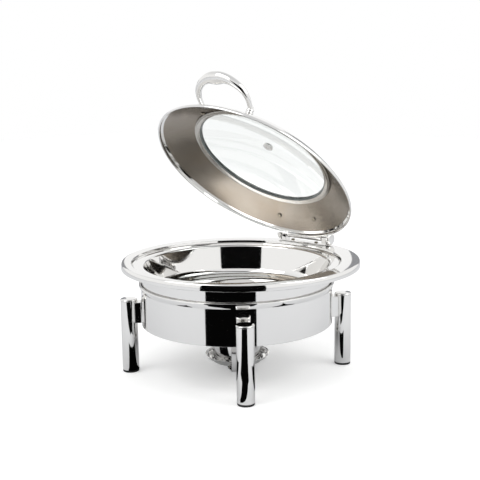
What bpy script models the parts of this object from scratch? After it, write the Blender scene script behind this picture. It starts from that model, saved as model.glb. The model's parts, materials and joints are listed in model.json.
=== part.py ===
"""Round chafing dish: ring stand on four tube legs, water pan with a wide rim, food pan,
hinged domed lid with a glass window, and a fuel burner hung under the ring.
Metres, +Z up. Origin on the table, under the centre of the rim's outer circle.
+Y is the hinge side, -Y the front. The lid is modelled part open."""
import math

import bmesh
import bpy
from mathutils import Matrix, Vector

for old in list(bpy.data.objects):
    bpy.data.objects.remove(old, do_unlink=True)

# ---- driving dimensions, millimetres -------------------------------------------------
GAP = 0.3                 # running and assembly clearance between separate pieces
AXIS_Y = -13.0            # ring, pans and lid are centred here; the rim's outer circle is on 0
SHEET = 1.4               # sheet thickness of the water pan
FOOD_SHEET = 1.2
LID_SHEET = 1.2
RING_SHEET = 1.5

# stand: ring, legs and the blocks between them
RING_R = 183.6            # stand ring, outside
RING_Z0, RING_HEIGHT = 96.0, 78.6
RING_Z1 = RING_Z0 + RING_HEIGHT
LEDGE_Z = RING_Z1 - 6.6   # ledge inside the ring that the water pan's shoulder rests on
LEG_R, LEG_WALL = 15.9, 1.5
BLOCK_REACH = 7.5         # ring to leg
LEG_CENTRE_R = RING_R + BLOCK_REACH + LEG_R
LEG_TOP = RING_Z0 + 48.0
FOOT_BAND = 4.0
BLOCK_HALF, BLOCK_Z0, BLOCK_Z1 = 12.0, RING_Z0 + 1.5, LEG_TOP - 6.5
BOLT_Z, HANGER_SCREW_Z = BLOCK_Z0 + 26.5, BLOCK_Z0 + 11.0

# water pan: its wall drops inside the ring, its rim spreads over it
WALL_R = RING_R - 2.1     # wall above the ring
LOWER_R = RING_R - 8.6    # wall inside the ring
PAN_DEPTH = 50.0          # ledge to floor
PAN_FLOOR_Z = LEDGE_Z - PAN_DEPTH
NECK = 40.0               # ledge up to the food pan's seat
SEAT_WIDTH, RIM_WIDTH = 18.7, 28.1
SEAT_R, SEAT_Z = WALL_R + SEAT_WIDTH, LEDGE_Z + NECK
RIM_R = SEAT_R + RIM_WIDTH                 # rim's outer circle
RIM_Z = SEAT_Z + 7.0      # rim's flat top
SKIRT_Z = RIM_Z - 13.0    # skirt's lower edge

# food pan
FOOD_RIM_R, FOOD_OPEN_R = SEAT_R - 2.2, WALL_R - 1.5
FOOD_DEPTH = 61.0
FOOD_FLOOR_Z = SEAT_Z - FOOD_DEPTH

# lid
LID_R = SEAT_R + 4.2      # lid's rolled edge, outside
LID_HEIGHT = 77.0         # crown above the lid's edge
LID_OPEN_DEG = 42.7       # how far open the lid is modelled
WINDOW_INSET = 72.8       # lid's edge in to the glass seen inside the gasket
WINDOW_R = LID_R - WINDOW_INSET
GLASS = 4.0

# hinge, on the rim behind the lid
DISC_R = 12.5
HINGE_Y, HINGE_Z = AXIS_Y + LID_R + 16.8, RIM_Z + DISC_R + 0.5
BARREL_HALF, BARREL_R = 44.0, 7.0
PIN_R = 3.0
POST_IN = BARREL_HALF + 2.0
POST_OUT = POST_IN + 11.8
DISC_T = 9.1
DISC_FACE = POST_OUT + 0.6 + DISC_T

# handle
FEET_HALF = 56.8
FEET_R = WINDOW_R + 17.632                 # clear of the window's clamping ring
FEET_BACK = math.sqrt(FEET_R ** 2 - FEET_HALF ** 2)
HANDLE_RAKE_DEG, HANDLE_REACH = 69.0, 74.0

# burner, in its tray on the hanger strap
STRAP_HALF, STRAP_T = 16.0, 2.5
STRAP_Z = 13.2            # middle of the strap under the tray
TRAY_Z = STRAP_Z + STRAP_T / 2.0 + 0.35 + 1.2   # top of the tray's floor
BURNER_R, BURNER_HEIGHT = 45.0, 61.7
BURNER_Z0 = TRAY_Z + GAP
BURNER_Z1 = BURNER_Z0 + BURNER_HEIGHT
TRAY_R = BURNER_R + 18.0
PORT_R, PIVOT_REACH = BURNER_R - 23.0, BURNER_R - 9.0
PIVOT_ANGLE = 225.0
DAMPER_Z, DAMPER_T = BURNER_Z1 + 6.4, 1.2

N_BIG, N_MID, N_LEG, N_SMALL = 48, 24, 18, 10

MM = 0.001


# ---- materials -----------------------------------------------------------------------
def material(name, colour, metallic, rough, alpha=1.0):
    mat = bpy.data.materials.get(name)
    if mat is None:
        mat = bpy.data.materials.new(name)
        mat.use_nodes = True
        shader = mat.node_tree.nodes["Principled BSDF"]
        shader.inputs["Base Color"].default_value = (*colour, 1.0)
        shader.inputs["Metallic"].default_value = metallic
        shader.inputs["Roughness"].default_value = rough
        shader.inputs["Alpha"].default_value = alpha
    return mat


KINDS = {
    "steel": ((0.80, 0.80, 0.80), 1.0, 0.08),
    "satin": ((0.62, 0.60, 0.57), 1.0, 0.30),
    "rubber": ((0.02, 0.02, 0.02), 0.0, 0.70),
    "silicone": ((0.05, 0.05, 0.05), 0.0, 0.45),
    "glass": ((0.90, 0.95, 0.95), 0.0, 0.02, 0.35),
}


def finish(bm, name, kind, origin=(0.0, 0.0, 0.0), smooth=True):
    """Turn a bmesh in millimetres into a named object with its origin at `origin` (mm)."""
    bmesh.ops.remove_doubles(bm, verts=bm.verts, dist=0.0001)
    bmesh.ops.recalc_face_normals(bm, faces=bm.faces)
    shift = Vector(origin)
    for v in bm.verts:
        v.co = (v.co - shift) * MM
    mesh = bpy.data.meshes.new(name)
    bm.to_mesh(mesh)
    bm.free()
    obj = bpy.data.objects.new(name, mesh)
    bpy.context.scene.collection.objects.link(obj)
    obj.location = shift * MM
    mesh.materials.append(material(name, *KINDS[kind]))
    if smooth:
        mesh.shade_smooth()
        mesh.set_sharp_from_angle(angle=math.radians(30.0))
    return obj


# ---- mesh builders (all in millimetres) ----------------------------------------------
def rim_reach(r, angle):
    """Distance from the pan axis to the rim circle of radius r, along `angle`."""
    off = -AXIS_Y
    return off * math.sin(angle) + math.sqrt(r * r - (off * math.cos(angle)) ** 2)


def spin(profile, n, centre=(0.0, AXIS_Y), closed=True, bm=None):
    """Solid of revolution about a vertical axis. A point may carry "rim": its radius is then
    measured from the rim's own centre. An open profile starts and ends on the axis."""
    bm = bm or bmesh.new()
    rows = []
    for point in profile:
        r, z = point[0], point[1]
        if r == 0.0:
            rows.append([bm.verts.new((centre[0], centre[1], z))])
            continue
        row = []
        for k in range(n):
            a = 2.0 * math.pi * k / n
            reach = rim_reach(r, a) if len(point) > 2 else r
            row.append(bm.verts.new((centre[0] + reach * math.cos(a),
                                     centre[1] + reach * math.sin(a), z)))
        rows.append(row)
    pairs = list(zip(rows, rows[1:] + rows[:1])) if closed else list(zip(rows, rows[1:]))
    for low, high in pairs:
        for k in range(n):
            m = (k + 1) % n
            if len(low) == 1:
                bm.faces.new((low[0], high[k], high[m]))
            elif len(high) == 1:
                bm.faces.new((low[k], low[m], high[0]))
            else:
                bm.faces.new((low[k], low[m], high[m], high[k]))
    return bm


def prism(outline, low, high, bm=None):
    """Upright prism over a plan outline, from z low to z high."""
    bm = bm or bmesh.new()
    bottom = [bm.verts.new((x, y, low)) for x, y in outline]
    top = [bm.verts.new((x, y, high)) for x, y in outline]
    bm.faces.new(list(reversed(bottom)))
    bm.faces.new(top)
    for k in range(len(outline)):
        m = (k + 1) % len(outline)
        bm.faces.new((bottom[k], bottom[m], top[m], top[k]))
    return bm


def skin(rows, bm=None):
    """Closed tube through equal rows of points, with flat ends."""
    bm = bm or bmesh.new()
    made = [[bm.verts.new(p) for p in row] for row in rows]
    n = len(made[0])
    for low, high in zip(made, made[1:]):
        for k in range(n):
            m = (k + 1) % n
            bm.faces.new((low[k], low[m], high[m], high[k]))
    bm.faces.new(list(reversed(made[0])))
    bm.faces.new(made[-1])
    return bm


def move(bm, matrix):
    bmesh.ops.transform(bm, matrix=matrix, verts=bm.verts)
    return bm


def lathe_on(profile, n, at, direction):
    """Solid of revolution whose local +Z is laid along `direction` from the point `at`."""
    ends_on_axis = profile[0][0] == 0.0 and profile[-1][0] == 0.0
    bm = spin(profile, n, (0.0, 0.0), closed=not ends_on_axis)
    turn = Vector((0.0, 0.0, 1.0)).rotation_difference(Vector(direction)).to_matrix().to_4x4()
    return move(bm, Matrix.Translation(Vector(at)) @ turn)


def rod(r, length, n, at, direction):
    return lathe_on([(0.0, 0.0), (r, 0.0), (r, length), (0.0, length)], n, at, direction)


def cut(obj, *tools, operation="DIFFERENCE"):
    """Boolean each tool mesh into obj and keep the result as plain mesh."""
    for tool in tools:
        bmesh.ops.recalc_face_normals(tool, faces=tool.faces)
        for v in tool.verts:
            v.co = v.co * MM - obj.location
        mesh = bpy.data.meshes.new("cutter")
        tool.to_mesh(mesh)
        tool.free()
        cutter = bpy.data.objects.new("cutter", mesh)
        bpy.context.scene.collection.objects.link(cutter)
        cutter.location = obj.location
        cutter.hide_render = True
        cutter.display_type = "WIRE"
        mod = obj.modifiers.new("cut", "BOOLEAN")
        mod.operation = operation
        mod.solver = "EXACT"
        mod.object = cutter
        bpy.context.view_layer.update()
        done = bpy.data.meshes.new_from_object(
            obj.evaluated_get(bpy.context.evaluated_depsgraph_get()))
        obj.modifiers.remove(mod)
        name = obj.data.name
        old = obj.data
        obj.data = done
        bpy.data.meshes.remove(old)
        done.name = name
        bpy.data.objects.remove(cutter, do_unlink=True)
        bpy.data.meshes.remove(mesh)
    clean = bmesh.new()
    clean.from_mesh(obj.data)
    bmesh.ops.remove_doubles(clean, verts=clean.verts, dist=0.0000005)
    bmesh.ops.dissolve_degenerate(clean, edges=clean.edges, dist=0.0000005)
    clean.to_mesh(obj.data)
    clean.free()
    obj.data.shade_smooth()
    obj.data.set_sharp_from_angle(angle=math.radians(30.0))
    return obj


def polar(angle_deg, radius, z=0.0, side=0.0):
    """Point at `radius` from the pan axis in direction angle_deg, moved `side` to its left."""
    a = math.radians(angle_deg)
    return (radius * math.cos(a) - side * math.sin(a),
            AXIS_Y + radius * math.sin(a) + side * math.cos(a), z)


def outward(angle_deg, sign=1.0):
    a = math.radians(angle_deg)
    return (sign * math.cos(a), sign * math.sin(a), 0.0)


# ---- stand ---------------------------------------------------------------------------
wall_in = RING_R - RING_SHEET
ring = finish(spin([
    (RING_R, RING_Z0), (RING_R, RING_Z1 - 11.0), (RING_R + 1.0, RING_Z1 - 9.4),
    (RING_R + 3.4, RING_Z1 - 3.0), (RING_R + 2.8, RING_Z1 - 0.7), (RING_R + 1.0, RING_Z1),
    (RING_R - 1.4, RING_Z1 - 0.8), (wall_in, LEDGE_Z), (LOWER_R + 0.4, LEDGE_Z),
    (LOWER_R + 0.4, LEDGE_Z - RING_SHEET), (wall_in, LEDGE_Z - RING_SHEET), (wall_in, RING_Z0)],
    N_BIG), "stand_ring", "steel")

LEGS = {"front_right": -45.0, "rear_right": 45.0, "rear_left": 135.0, "front_left": 225.0}
HANGER_ENDS = ("front_right", "rear_left")
ring_holes = []
for leg, angle in LEGS.items():
    x, y, _ = polar(angle, LEG_CENTRE_R)
    bore = LEG_R - LEG_WALL
    tube = finish(spin([(LEG_R, FOOT_BAND + GAP), (LEG_R, LEG_TOP - 4.0),
                        (bore, LEG_TOP - 4.0), (bore, FOOT_BAND + GAP)], N_LEG, (x, y)),
                  "leg_tube_" + leg, "steel")
    cut(tube, rod(3.3, 12.0, N_SMALL, polar(angle, LEG_CENTRE_R - bore + 8.4, BOLT_Z),
                  outward(angle, -1.0)))
    finish(spin([(0.0, LEG_TOP - 13.0), (bore - GAP, LEG_TOP - 13.0), (bore - GAP, LEG_TOP - 4.0 + GAP),
                 (LEG_R + 0.5, LEG_TOP - 4.0 + GAP), (LEG_R + 0.5, LEG_TOP - 1.6),
                 (LEG_R - 0.9, LEG_TOP - 0.4), (0.0, LEG_TOP + 0.6)], N_LEG, (x, y),
                closed=False), "leg_cap_" + leg, "steel")
    finish(spin([(0.0, 0.0), (LEG_R - 1.0, 0.0), (LEG_R - 0.2, 0.8), (LEG_R - 0.2, FOOT_BAND),
                 (bore - GAP, FOOT_BAND), (bore - GAP, 14.0), (0.0, 14.0)], N_LEG, (x, y),
                closed=False), "leg_foot_" + leg, "rubber")
    plan = []
    for k in range(7):
        side = BLOCK_HALF * (1.0 - k / 3.0)
        plan.append(polar(angle, math.sqrt((RING_R + GAP) ** 2 - side ** 2), 0.0, side)[:2])
    for k in range(9):
        side = -BLOCK_HALF * (1.0 - k / 4.0)
        reach = LEG_CENTRE_R - math.sqrt((LEG_R + GAP + 0.1) ** 2 - side ** 2)
        plan.append(polar(angle, reach, 0.0, side)[:2])
    block = finish(prism(plan, BLOCK_Z0, BLOCK_Z1), "leg_block_" + leg, "steel", smooth=False)
    cut(block, rod(3.3, 24.0, N_SMALL, polar(angle, RING_R - 5.6, BOLT_Z), outward(angle)))
    finish(lathe_on([(0.0, 0.0), (3.9, 0.5), (5.4, 2.2), (5.4, 3.8), (3.0, 3.8), (3.0, 19.0),
                     (0.0, 19.0)], N_SMALL, polar(angle, wall_in - 0.8 - 3.8, BOLT_Z),
                    outward(angle)), "leg_bolt_" + leg, "steel")
    ring_holes.append(rod(3.3, 12.0, N_SMALL, polar(angle, RING_R - 7.6, BOLT_Z), outward(angle)))
    if leg in HANGER_ENDS:
        cut(block, rod(2.3, 9.0, N_SMALL, polar(angle, RING_R - 3.6, HANGER_SCREW_Z), outward(angle)))
        ring_holes.append(rod(2.3, 12.0, N_SMALL, polar(angle, RING_R - 7.6, HANGER_SCREW_Z),
                              outward(angle)))
cut(ring, *ring_holes)

# ---- burner hanger and tray ----------------------------------------------------------
tab_u = wall_in - 1.4 - STRAP_T / 2.0
limb_u, arm_z = TRAY_R + 7.0, HANGER_SCREW_Z - 7.3
half_path = [(tab_u, arm_z + 13.3, STRAP_HALF), (tab_u, arm_z + 1.8, STRAP_HALF),
             (tab_u - 1.8, arm_z, STRAP_HALF), (limb_u + 3.0, arm_z, STRAP_HALF),
             (limb_u, arm_z - 3.0, STRAP_HALF), (limb_u, STRAP_Z + 3.0, STRAP_HALF),
             (limb_u - 3.0, STRAP_Z, STRAP_HALF), (BURNER_R + 1.0, STRAP_Z, STRAP_HALF + 6.0)]
path = half_path + [(-u, z, w) for u, z, w in reversed(half_path)]
rows = []
for k, (u, z, w) in enumerate(path):
    before = Vector(path[max(k - 1, 0)][:2])
    after = Vector(path[min(k + 1, len(path) - 1)][:2])
    here = Vector((u, z))
    run_in = (here - before).normalized() if k else (after - here).normalized()
    run_out = (after - here).normalized() if k < len(path) - 1 else run_in
    along = (run_in + run_out).normalized()
    across = Vector((-along.y, along.x))
    t = STRAP_T / 2.0 / max(0.3, along.dot(run_in))
    row = []
    for side, lift in ((w, t), (-w, t), (-w, -t), (w, -t)):
        q = here + across * lift
        row.append(polar(-45.0, q.x, q.y, side))
    rows.append(row)
hanger = finish(skin(rows), "burner_hanger", "steel", smooth=False)
cut(hanger, rod(2.3, 12.0, N_SMALL, polar(-45.0, RING_R - 9.6, HANGER_SCREW_Z), outward(-45.0)),
    rod(2.3, 12.0, N_SMALL, polar(135.0, RING_R - 9.6, HANGER_SCREW_Z), outward(135.0)),
    rod(2.3, 12.0, N_SMALL, (0.0, AXIS_Y, STRAP_Z - 7.2), (0.0, 0.0, 1.0)))
for leg in HANGER_ENDS:
    finish(lathe_on([(0.0, 0.0), (3.0, 0.3), (4.2, 1.6), (4.2, 2.6), (2.0, 2.6), (2.0, 11.0),
                     (0.0, 11.0)], N_SMALL,
                    polar(LEGS[leg], tab_u - STRAP_T / 2.0 - GAP - 2.6, HANGER_SCREW_Z),
                    outward(LEGS[leg])), "hanger_screw_" + leg, "steel")
finish(spin([(2.4, TRAY_Z), (BURNER_R + 1.6, TRAY_Z), (BURNER_R + 4.2, TRAY_Z + 5.4),
             (BURNER_R + 10.4, TRAY_Z + 6.8), (BURNER_R + 13.2, TRAY_Z + 11.6),
             (TRAY_R - 0.6, TRAY_Z + 13.6), (TRAY_R, TRAY_Z + 12.8), (BURNER_R + 14.1, TRAY_Z + 10.6),
             (BURNER_R + 11.3, TRAY_Z + 5.6), (BURNER_R + 5.1, TRAY_Z + 4.2),
             (BURNER_R + 2.5, TRAY_Z - 1.2), (2.4, TRAY_Z - 1.2)], N_MID), "burner_tray", "steel")
finish(lathe_on([(0.0, 0.0), (2.0, 0.0), (2.0, 8.7), (4.6, 8.7), (4.6, 9.7), (3.0, 10.8), (0.0, 11.2)],
                N_SMALL, (0.0, AXIS_Y, TRAY_Z - 8.4), (0.0, 0.0, 1.0)), "tray_screw", "steel")
finish(lathe_on([(2.3, 0.0), (4.6, 0.0), (4.6, 3.0), (2.3, 3.0)], 6, (0.0, AXIS_Y, TRAY_Z - 7.4),
                (0.0, 0.0, 1.0)), "tray_nut", "steel", smooth=False)

# ---- burner --------------------------------------------------------------------------
b_at = (0.0, AXIS_Y, BURNER_Z0)
finish(spin([(0.0, BURNER_Z0 + 4.3), (BURNER_R - 7.0, BURNER_Z0 + 4.3), (BURNER_R - 5.0, BURNER_Z0),
             (BURNER_R - 1.0, BURNER_Z0), (BURNER_R, BURNER_Z0 + 1.3), (BURNER_R, BURNER_Z1),
             (BURNER_R - 1.4, BURNER_Z1), (BURNER_R - 1.4, BURNER_Z0 + 3.1),
             (BURNER_R - 4.4, BURNER_Z0 + 2.9), (BURNER_R - 6.0, BURNER_Z0 + 5.7),
             (0.0, BURNER_Z0 + 5.7)], N_MID, closed=False),
       "burner_cup", "steel", b_at)
plug_r = BURNER_R - 1.8
cover = finish(spin([(PORT_R + 2.0, BURNER_Z1 + 1.8), (BURNER_R + 0.6, BURNER_Z1 + 1.8),
                     (BURNER_R + 1.0, BURNER_Z1 + 1.0), (BURNER_R + 0.6, BURNER_Z1 + GAP),
                     (plug_r, BURNER_Z1 + GAP), (plug_r, BURNER_Z1 - 4.0),
                     (plug_r - 1.2, BURNER_Z1 - 4.0), (plug_r - 1.2, BURNER_Z1 + GAP),
                     (PORT_R, BURNER_Z1 + GAP), (PORT_R, BURNER_Z1 + 5.6),
                     (PORT_R + 1.4, BURNER_Z1 + 5.6)], N_MID), "burner_cover", "steel", b_at)
pivot = polar(PIVOT_ANGLE, PIVOT_REACH, DAMPER_Z)
cut(cover, rod(2.2, 8.0, N_SMALL, polar(PIVOT_ANGLE, PIVOT_REACH, BURNER_Z1 - 3.0), (0.0, 0.0, 1.0)))
finish(lathe_on([(0.0, 0.0), (3.4, 0.0), (3.4, 1.2), (1.8, 1.2), (1.8, 9.4), (3.6, 9.4), (3.6, 10.2),
                 (2.2, 11.2), (0.0, 11.4)], N_SMALL, polar(PIVOT_ANGLE, PIVOT_REACH, BURNER_Z1 - 1.4),
                (0.0, 0.0, 1.0)), "damper_pivot", "steel", b_at)
ear, disc = 6.5, PORT_R + 3.5
outline = []
cx, cy, _ = polar(PIVOT_ANGLE, 0.0)
half_neck = math.degrees(math.acos((disc - ear) / PIVOT_REACH))
for k in range(19):
    a = math.radians(PIVOT_ANGLE + half_neck + (360.0 - 2.0 * half_neck) * k / 18.0)
    outline.append((cx + disc * math.cos(a), cy + disc * math.sin(a)))
for k in range(5):
    a = math.radians(PIVOT_ANGLE - half_neck + 2.0 * half_neck * k / 4.0)
    outline.append((pivot[0] + ear * math.cos(a), pivot[1] + ear * math.sin(a)))
damper = finish(prism(outline, DAMPER_Z, DAMPER_Z + DAMPER_T), "burner_damper", "steel", pivot, smooth=False)
cut(damper, rod(2.2, 8.0, N_SMALL, (pivot[0], pivot[1], DAMPER_Z - 3.4), (0.0, 0.0, 1.0)))
finish(lathe_on([(0.0, 0.0), (5.0, 0.0), (4.0, 3.0), (6.0, 9.0), (5.0, 11.0), (0.0, 11.4)], N_SMALL,
                (polar(PIVOT_ANGLE + 180.0, 10.0)[0], polar(PIVOT_ANGLE + 180.0, 10.0)[1],
                 DAMPER_Z + DAMPER_T + GAP), (0.0, 0.0, 1.0)), "damper_knob", "steel", pivot)

# ---- water pan -----------------------------------------------------------------------
low_in, top_in = LOWER_R - SHEET, WALL_R - SHEET
pan = finish(spin([
    (0.0, PAN_FLOOR_Z + SHEET), (LOWER_R - 14.0, PAN_FLOOR_Z + SHEET), (LOWER_R - 4.5, PAN_FLOOR_Z + 6.5),
    (low_in, PAN_FLOOR_Z + 16.0), (low_in, LEDGE_Z + GAP + SHEET), (top_in - 0.6, LEDGE_Z + GAP + SHEET),
    (top_in, LEDGE_Z + 3.0), (top_in, SEAT_Z - 2.4), (WALL_R + 1.1, SEAT_Z), (SEAT_R - 0.6, SEAT_Z),
    (SEAT_R, RIM_Z - 0.8), (SEAT_R + 0.9, RIM_Z), (RIM_R - 2.6, RIM_Z, "rim"),
    (RIM_R - 0.2, RIM_Z - 1.1, "rim"), (RIM_R + 0.7, RIM_Z - 6.0, "rim"),
    (RIM_R + 0.9, SKIRT_Z + 1.4, "rim"), (RIM_R - 0.2, SKIRT_Z, "rim"),
    (RIM_R - 1.6, SKIRT_Z + 0.8, "rim"), (RIM_R - 1.2, RIM_Z - 3.0, "rim"),
    (RIM_R - 3.2, RIM_Z - SHEET, "rim"), (SEAT_R + 1.4, RIM_Z - SHEET),
    (SEAT_R + 0.8, SEAT_Z - SHEET), (WALL_R + 1.9, SEAT_Z - SHEET), (WALL_R, SEAT_Z - 3.6),
    (WALL_R, LEDGE_Z + 1.4), (WALL_R - 0.8, LEDGE_Z + GAP), (LOWER_R, LEDGE_Z + GAP),
    (LOWER_R, PAN_FLOOR_Z + 15.4), (LOWER_R - 3.6, PAN_FLOOR_Z + 5.4), (LOWER_R - 13.4, PAN_FLOOR_Z),
    (0.0, PAN_FLOOR_Z)], N_BIG, closed=False), "water_pan", "steel")
BASE_SCREW_X, BASE_SCREW_Y = 30.0, HINGE_Y - 3.0
cut(pan, *[rod(2.3, 8.0, N_SMALL, (s * BASE_SCREW_X, BASE_SCREW_Y, RIM_Z - 5.0), (0.0, 0.0, 1.0))
           for s in (-1.0, 1.0)])

# ---- hinge on the rim ----------------------------------------------------------------
hinge_at = (0.0, HINGE_Y, HINGE_Z)
base_z = RIM_Z + GAP
base_half, y_in, y_out = POST_OUT + 0.2, HINGE_Y - 13.6, HINGE_Y + 7.8
base = finish(prism([(-base_half, y_in + 4.4), (4.0 - base_half, y_in), (base_half - 4.0, y_in),
                     (base_half, y_in + 4.4), (base_half, y_out - 4.0), (base_half - 4.0, y_out),
                     (4.0 - base_half, y_out), (-base_half, y_out - 4.0)], base_z, base_z + 2.5),
              "hinge_base", "steel", smooth=False)
post_r = BARREL_R + 0.2
tool_half = DISC_FACE + 2.5
for s in (-1.0, 1.0):
    ring_of = [(-post_r, base_z + 1.0 - HINGE_Z)]
    for k in range(9):
        a = math.pi - math.pi * k / 8.0
        ring_of.append((post_r * math.cos(a), post_r * math.sin(a)))
    ring_of.append((post_r, base_z + 1.0 - HINGE_Z))
    post = skin([[(s * x, HINGE_Y + u, HINGE_Z + w) for u, w in ring_of]
                 for x in (POST_IN, POST_OUT)])
    cut(base, post, operation="UNION")
cut(base, rod(PIN_R + 0.1, 2.0 * tool_half, 20, (-tool_half, HINGE_Y, HINGE_Z), (1.0, 0.0, 0.0)),
    *[rod(2.3, 8.0, N_SMALL, (s * BASE_SCREW_X, BASE_SCREW_Y, RIM_Z - 3.0), (0.0, 0.0, 1.0))
      for s in (-1.0, 1.0)])
for s, name in ((-1.0, "left"), (1.0, "right")):
    finish(lathe_on([(0.0, 0.0), (2.0, 0.0), (2.0, 9.1), (3.9, 9.1), (3.9, 9.8), (2.4, 10.9), (0.0, 11.2)],
                    N_SMALL, (s * BASE_SCREW_X, BASE_SCREW_Y, base_z + 2.5 + GAP - 9.1),
                    (0.0, 0.0, 1.0)), "hinge_screw_" + name, "steel")
pin_half = DISC_FACE - 4.5
finish(rod(PIN_R, 2.0 * pin_half, 20, (-pin_half, HINGE_Y, HINGE_Z), (1.0, 0.0, 0.0)),
       "hinge_pin", "steel")
for s, name in ((-1.0, "left"), (1.0, "right")):
    finish(lathe_on([(0.0, 4.9), (PIN_R + 0.1, 4.9), (PIN_R + 0.1, 0.0), (DISC_R - 1.2, 0.0),
                     (DISC_R, 1.2), (DISC_R, 6.6), (DISC_R - 2.4, 8.6), (0.0, DISC_T)], 24,
                    (s * (DISC_FACE - DISC_T), HINGE_Y, HINGE_Z), (s, 0.0, 0.0)),
           "hinge_disc_" + name, "steel")

# ---- food pan ------------------------------------------------------------------------
f0 = SEAT_Z + GAP
finish(spin([
    (0.0, FOOD_FLOOR_Z + FOOD_SHEET), (FOOD_OPEN_R - 30.0, FOOD_FLOOR_Z + FOOD_SHEET),
    (FOOD_OPEN_R - 19.0, FOOD_FLOOR_Z + 4.6), (FOOD_OPEN_R - 14.4, FOOD_FLOOR_Z + 13.0),
    (FOOD_OPEN_R - 4.8, SEAT_Z - 5.0), (FOOD_OPEN_R - 3.0, SEAT_Z - 0.4),
    (FOOD_OPEN_R + 0.6, f0 + FOOD_SHEET), (FOOD_RIM_R - 1.8, f0 + FOOD_SHEET),
    (FOOD_RIM_R - 0.6, f0 + 2.4), (FOOD_RIM_R, f0 + 1.4), (FOOD_RIM_R - 0.6, f0),
    (FOOD_OPEN_R + 1.4, f0), (FOOD_OPEN_R - 1.5, SEAT_Z - 1.4), (FOOD_OPEN_R - 3.4, SEAT_Z - 5.4),
    (FOOD_OPEN_R - 13.0, FOOD_FLOOR_Z + 12.4), (FOOD_OPEN_R - 17.8, FOOD_FLOOR_Z + 3.7),
    (FOOD_OPEN_R - 29.4, FOOD_FLOOR_Z), (0.0, FOOD_FLOOR_Z)], N_BIG, closed=False),
       "food_pan", "steel", (0.0, AXIS_Y, SEAT_Z))

# ---- lid, built shut and then turned open about the hinge ----------------------------
lid_z = RIM_Z + GAP
dome_edge_r, dome_edge_z = LID_R - 2.2, 6.6
rise = LID_HEIGHT - dome_edge_z
DOME_S = (dome_edge_r ** 2 + rise ** 2) / (2.0 * rise)
open_lid = (Matrix.Translation(Vector(hinge_at)) @ Matrix.Rotation(-math.radians(LID_OPEN_DEG), 4, "X")
            @ Matrix.Translation(-Vector(hinge_at)))


def dome(r, offset=0.0):
    """Height of the dome's outer surface, grown outward by `offset`, at radius r."""
    return lid_z + LID_HEIGHT - DOME_S + math.sqrt((DOME_S + offset) ** 2 - r * r)


def dome_point(x, y, offset=0.0):
    """Point on the dome above (x, y), measured from the lid's centre, and its normal."""
    z = dome(math.hypot(x, y), offset)
    normal = Vector((x, y, z - (lid_z + LID_HEIGHT - DOME_S))).normalized()
    return Vector((x, AXIS_Y + y, z)), normal


def lid_piece(bm, name, kind, smooth=True):
    return finish(move(bm, open_lid), name, kind, hinge_at, smooth)


def lid_tool(bm):
    return move(bm, open_lid)


HOLE_R = WINDOW_R + 6.8
arc_out = [LID_R - 8.4, LID_R - 26.4, LID_R - 46.4, HOLE_R]
shell = lid_piece(spin(
    [(LID_R - 2.0, lid_z), (LID_R - 0.5, lid_z + 0.5), (LID_R, lid_z + 2.1), (LID_R - 0.6, lid_z + 3.8),
     (dome_edge_r, lid_z + dome_edge_z)]
    + [(r, dome(r)) for r in arc_out] + [(r, dome(r, -LID_SHEET)) for r in reversed(arc_out)]
    + [(dome_edge_r - 1.2, lid_z + dome_edge_z - 0.6), (dome_edge_r - 1.2, lid_z + 1.0)],
    N_BIG), "lid_shell", "steel")

glass_rs = [WINDOW_R + 4.4, WINDOW_R - 26.6, WINDOW_R - 65.6, 14.0]
glass = lid_piece(spin([(0.0, dome(0.0, -0.3))] + [(r, dome(r, -0.3)) for r in reversed(glass_rs)]
                       + [(r, dome(r, -0.3 - GLASS)) for r in glass_rs]
                       + [(0.0, dome(0.0, -0.3 - GLASS))], N_BIG, closed=False),
                  "lid_window", "glass")
gasket_in, gasket_out, slot = WINDOW_R, HOLE_R - GAP, WINDOW_R + 4.7
lid_piece(spin([(gasket_in, dome(gasket_in, 1.0)), (gasket_out, dome(gasket_out, 1.0)),
                (gasket_out, dome(gasket_out, -5.8)), (gasket_in, dome(gasket_in, -5.8)),
                (gasket_in, dome(gasket_in, -4.6)), (slot, dome(slot, -4.6)),
                (slot, dome(slot, 0.0)), (gasket_in, dome(gasket_in, 0.0))], N_BIG),
          "window_gasket", "silicone")
clamp = [(1.8, -6.1), (7.6, -6.1), (8.2, -1.6), (12.3, -1.6), (12.3, -2.7), (9.4, -2.7), (8.8, -7.2),
         (1.8, -7.2)]     # radius beyond the window's, and depth below the dome
lid_piece(spin([(WINDOW_R + out, dome(WINDOW_R + out, depth)) for out, depth in clamp], N_BIG),
          "window_ring", "steel")
crown = dome(0.0, -0.3)
cut(glass, lid_tool(rod(5.3, 14.0, N_SMALL, (0.0, AXIS_Y, crown - 9.0), (0.0, 0.0, 1.0))))
vent_z = crown - GLASS - GAP - 1.4
vent_top = crown + GAP
lid_piece(lathe_on([(3.2, 0.0), (10.0, 0.0), (10.0, 1.0), (9.4, 1.4), (5.0, 1.4),
                    (5.0, vent_top - vent_z), (9.4, vent_top - vent_z),
                    (10.0, vent_top - vent_z + 0.4), (8.6, vent_top - vent_z + 1.6),
                    (3.2, vent_top - vent_z + 1.6)], 16, (0.0, AXIS_Y, vent_z), (0.0, 0.0, 1.0)),
          "steam_vent", "steel")

# hinge leaf: a sheet lying on the dome, run back into the barrel
LEAF_T = 2.6


def leaf_half(y):
    """Half width of the leaf at y from the lid's centre."""
    neck, wide = BARREL_HALF - 4.0, BARREL_HALF + 8.0
    if y > LID_R + 3.6:
        return neck
    if y > LID_R - 6.4:
        return neck + (wide - neck) * (LID_R + 3.6 - y) / 10.0
    t = max(0.0, min(1.0, (LID_R - 32.4 - y) / 12.0))
    return wide - 9.0 * (1.0 - math.sqrt(1.0 - t * t * 0.98))


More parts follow.
